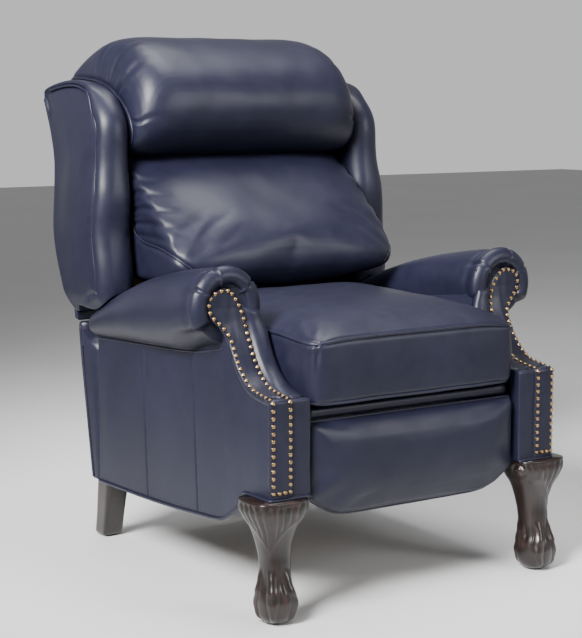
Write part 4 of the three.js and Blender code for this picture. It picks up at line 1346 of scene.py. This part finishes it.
# The lumbar pillow's welt: down its end, then forward along it.
LUMBAR_WELT = [
    (0.276, 0.345, 0.872), (0.290, 0.310, 0.850), (0.296, 0.290, 0.800), (0.296, 0.270, 0.745),
    (0.296, 0.250, 0.712), (0.296, 0.215, 0.692), (0.296, 0.160, 0.688), (0.296, 0.110, 0.680),
    (0.290, 0.070, 0.668), (0.275, 0.040, 0.648), (0.262, 0.030, 0.622)]


def lumbar():
    half = BACK_X - 0.006
    shape, _ = cross_roll(LUMBAR, LUMBAR_END, half, 0.200, 3.0)
    piece = remeshed("lumbar_pillow", shape, 0.0075)
    route = rounded_path(LUMBAR_WELT, 2)
    seams = [lifted(piece, [(side * x, y, z) for x, y, z in route], 0.0, False) for side in (1, -1)]
    plump(piece, seams, 0.0065, lambda p: (p[:, 1] > 0.35) | (np.abs(p[:, 0]) > half - 0.002), 1.8, 0.012)
    folds = []
    for side in (1, -1):
        for y, z, to_x, to_y, to_z, depth in [
                (0.308, 0.846, 0.262, 0.240, 0.862, 0.0030), (0.296, 0.815, 0.255, 0.195, 0.838, 0.0046),
                (0.288, 0.785, 0.245, 0.150, 0.806, 0.0052), (0.278, 0.757, 0.245, 0.110, 0.772, 0.0050),
                (0.264, 0.732, 0.250, 0.080, 0.738, 0.0042), (0.245, 0.710, 0.262, 0.070, 0.708, 0.0032)]:
            folds.append(((side * half, y, z), (side * to_x, to_y, to_z), 0.0062, depth))
    push_in(piece, folds, seams, 0.0065, 0.0042, 0.0016, 3)
    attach(piece, "back")
    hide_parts("lumbar_cushion")
    seam_welts("lumbar_welts", piece, seams, 0.0012, 0.0032, "back", round_trip=False)


# ---------- footrest ----------
FOOT_TOP = high("footrest_pad").z
FOOT_HALF = high("footrest_pad").x
FOOT_REAR = high("footrest_pad").y - ORIGIN_Y
FOOT_EDGE = [
    (0.0, 0.1915), (0.150, 0.192), (0.185, 0.195), (0.208, 0.202), (0.236, 0.218), (FOOT_HALF, 0.234)]


def foot_outline():
    """The footrest from the front, as (x, z) points: a serpentine lower edge and straight sides and top."""
    lower = curve(FOOT_EDGE)
    bottom = [(x, lower(abs(x))) for x in np.linspace(-FOOT_HALF, FOOT_HALF, 61)]
    sides = [(FOOT_HALF, z) for z in np.linspace(0.250, FOOT_TOP - 0.01, 12)]
    top = [(x, FOOT_TOP) for x in np.linspace(FOOT_HALF - 0.002, -FOOT_HALF + 0.002, 50)]
    left = [(-x, z) for x, z in reversed(sides)]
    return closed_spaced([*bottom, *sides, *top, *left], 200)


def footrest_pad():
    loop = foot_outline()

    def front(p, d, spot):
        crown = 0.012 * (1 - np.exp(-d / 0.030))
        return -0.392 + edge_drop(d, 0.012) - crown

    def rear(p, d, spot):
        return np.full(len(p), FOOT_REAR)

    shape = plate(loop, (0, 0.295), PLATE_STEPS, front, rear, lambda x, z, y: np.stack([x, y, z], 1))
    piece = remeshed("footrest_panel", shape, 0.0065)
    plump(piece, [], 0, lambda p: p[:, 1] > -0.384, 2.0, 0.010)
    push_in(piece, [], [], 0.006, 0.0, 0.0014, 4)
    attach(piece, "footrest")
    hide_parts("footrest_pad")
    path = np.column_stack([loop[:, 0] * 0.996, np.full(len(loop), FOOT_REAR - 0.006), loop[:, 1]])
    make("footrest_welt", tube(path, 0.003, closed=True), "footrest", "leather")


# ---------- leather behind and under the cushion ----------
def seat_lip():
    """Padded rail in front of the springs, in the gap under the cushion."""
    section = [(-0.370, 0.3865), (-0.348, 0.3865), (-0.346, 0.352), (-0.3425, 0.350), (-0.340, 0.352),
               (-0.339, 0.4105), (-0.370, 0.4105), (-0.3755, 0.399)]
    count = 36
    outline = closed_spaced(rounded_loop(section, 1), count)
    half = CUSHION_X - 0.004
    stations = [(-half, 0.7), (-half + 0.004, 1.0), *((x, 1.0) for x in np.linspace(-0.24, 0.24, 13)),
                (half - 0.004, 1.0), (half, 0.7)]
    middle = outline.mean(0)
    return loft([np.column_stack([np.full(count, x), middle + (outline - middle) * k]) for x, k in stations])


def apron():
    """Leather that closes the gap between the seat's rear and the back."""
    line = rounded_path([(0.335, 0.640), (0.300, 0.560), (0.250, 0.500), (0.205, 0.455), (0.190, 0.415)], 3)
    thick = 0.004
    away = outward(line) * thick
    rings = []
    for x in np.linspace(-0.222, 0.222, 40):
        sag = 0.004 * math.sin(x * 60) * np.sin(np.linspace(0, np.pi, len(line)))[:, None]
        near, far = line + away * (1 + sag / thick * 0.3), line - away
        loop = np.concatenate([near, far[::-1]])
        rings.append(np.column_stack([np.full(len(loop), x), loop]))
    return loft(rings)


def add_inner_leather():
    make("seat_lip", seat_lip(), "seat", "leather")
    piece = make("back_apron", apron(), None, "leather")
    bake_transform(piece)


# ---------- the chair ----------
add_camera()
add_stage()
finish_cad_nodes()
add_arms()
add_legs()
add_base_back()
add_wings()
add_outside_back()
seat_cushion()
headrest()
lumbar()
footrest_pad()
add_inner_leather()
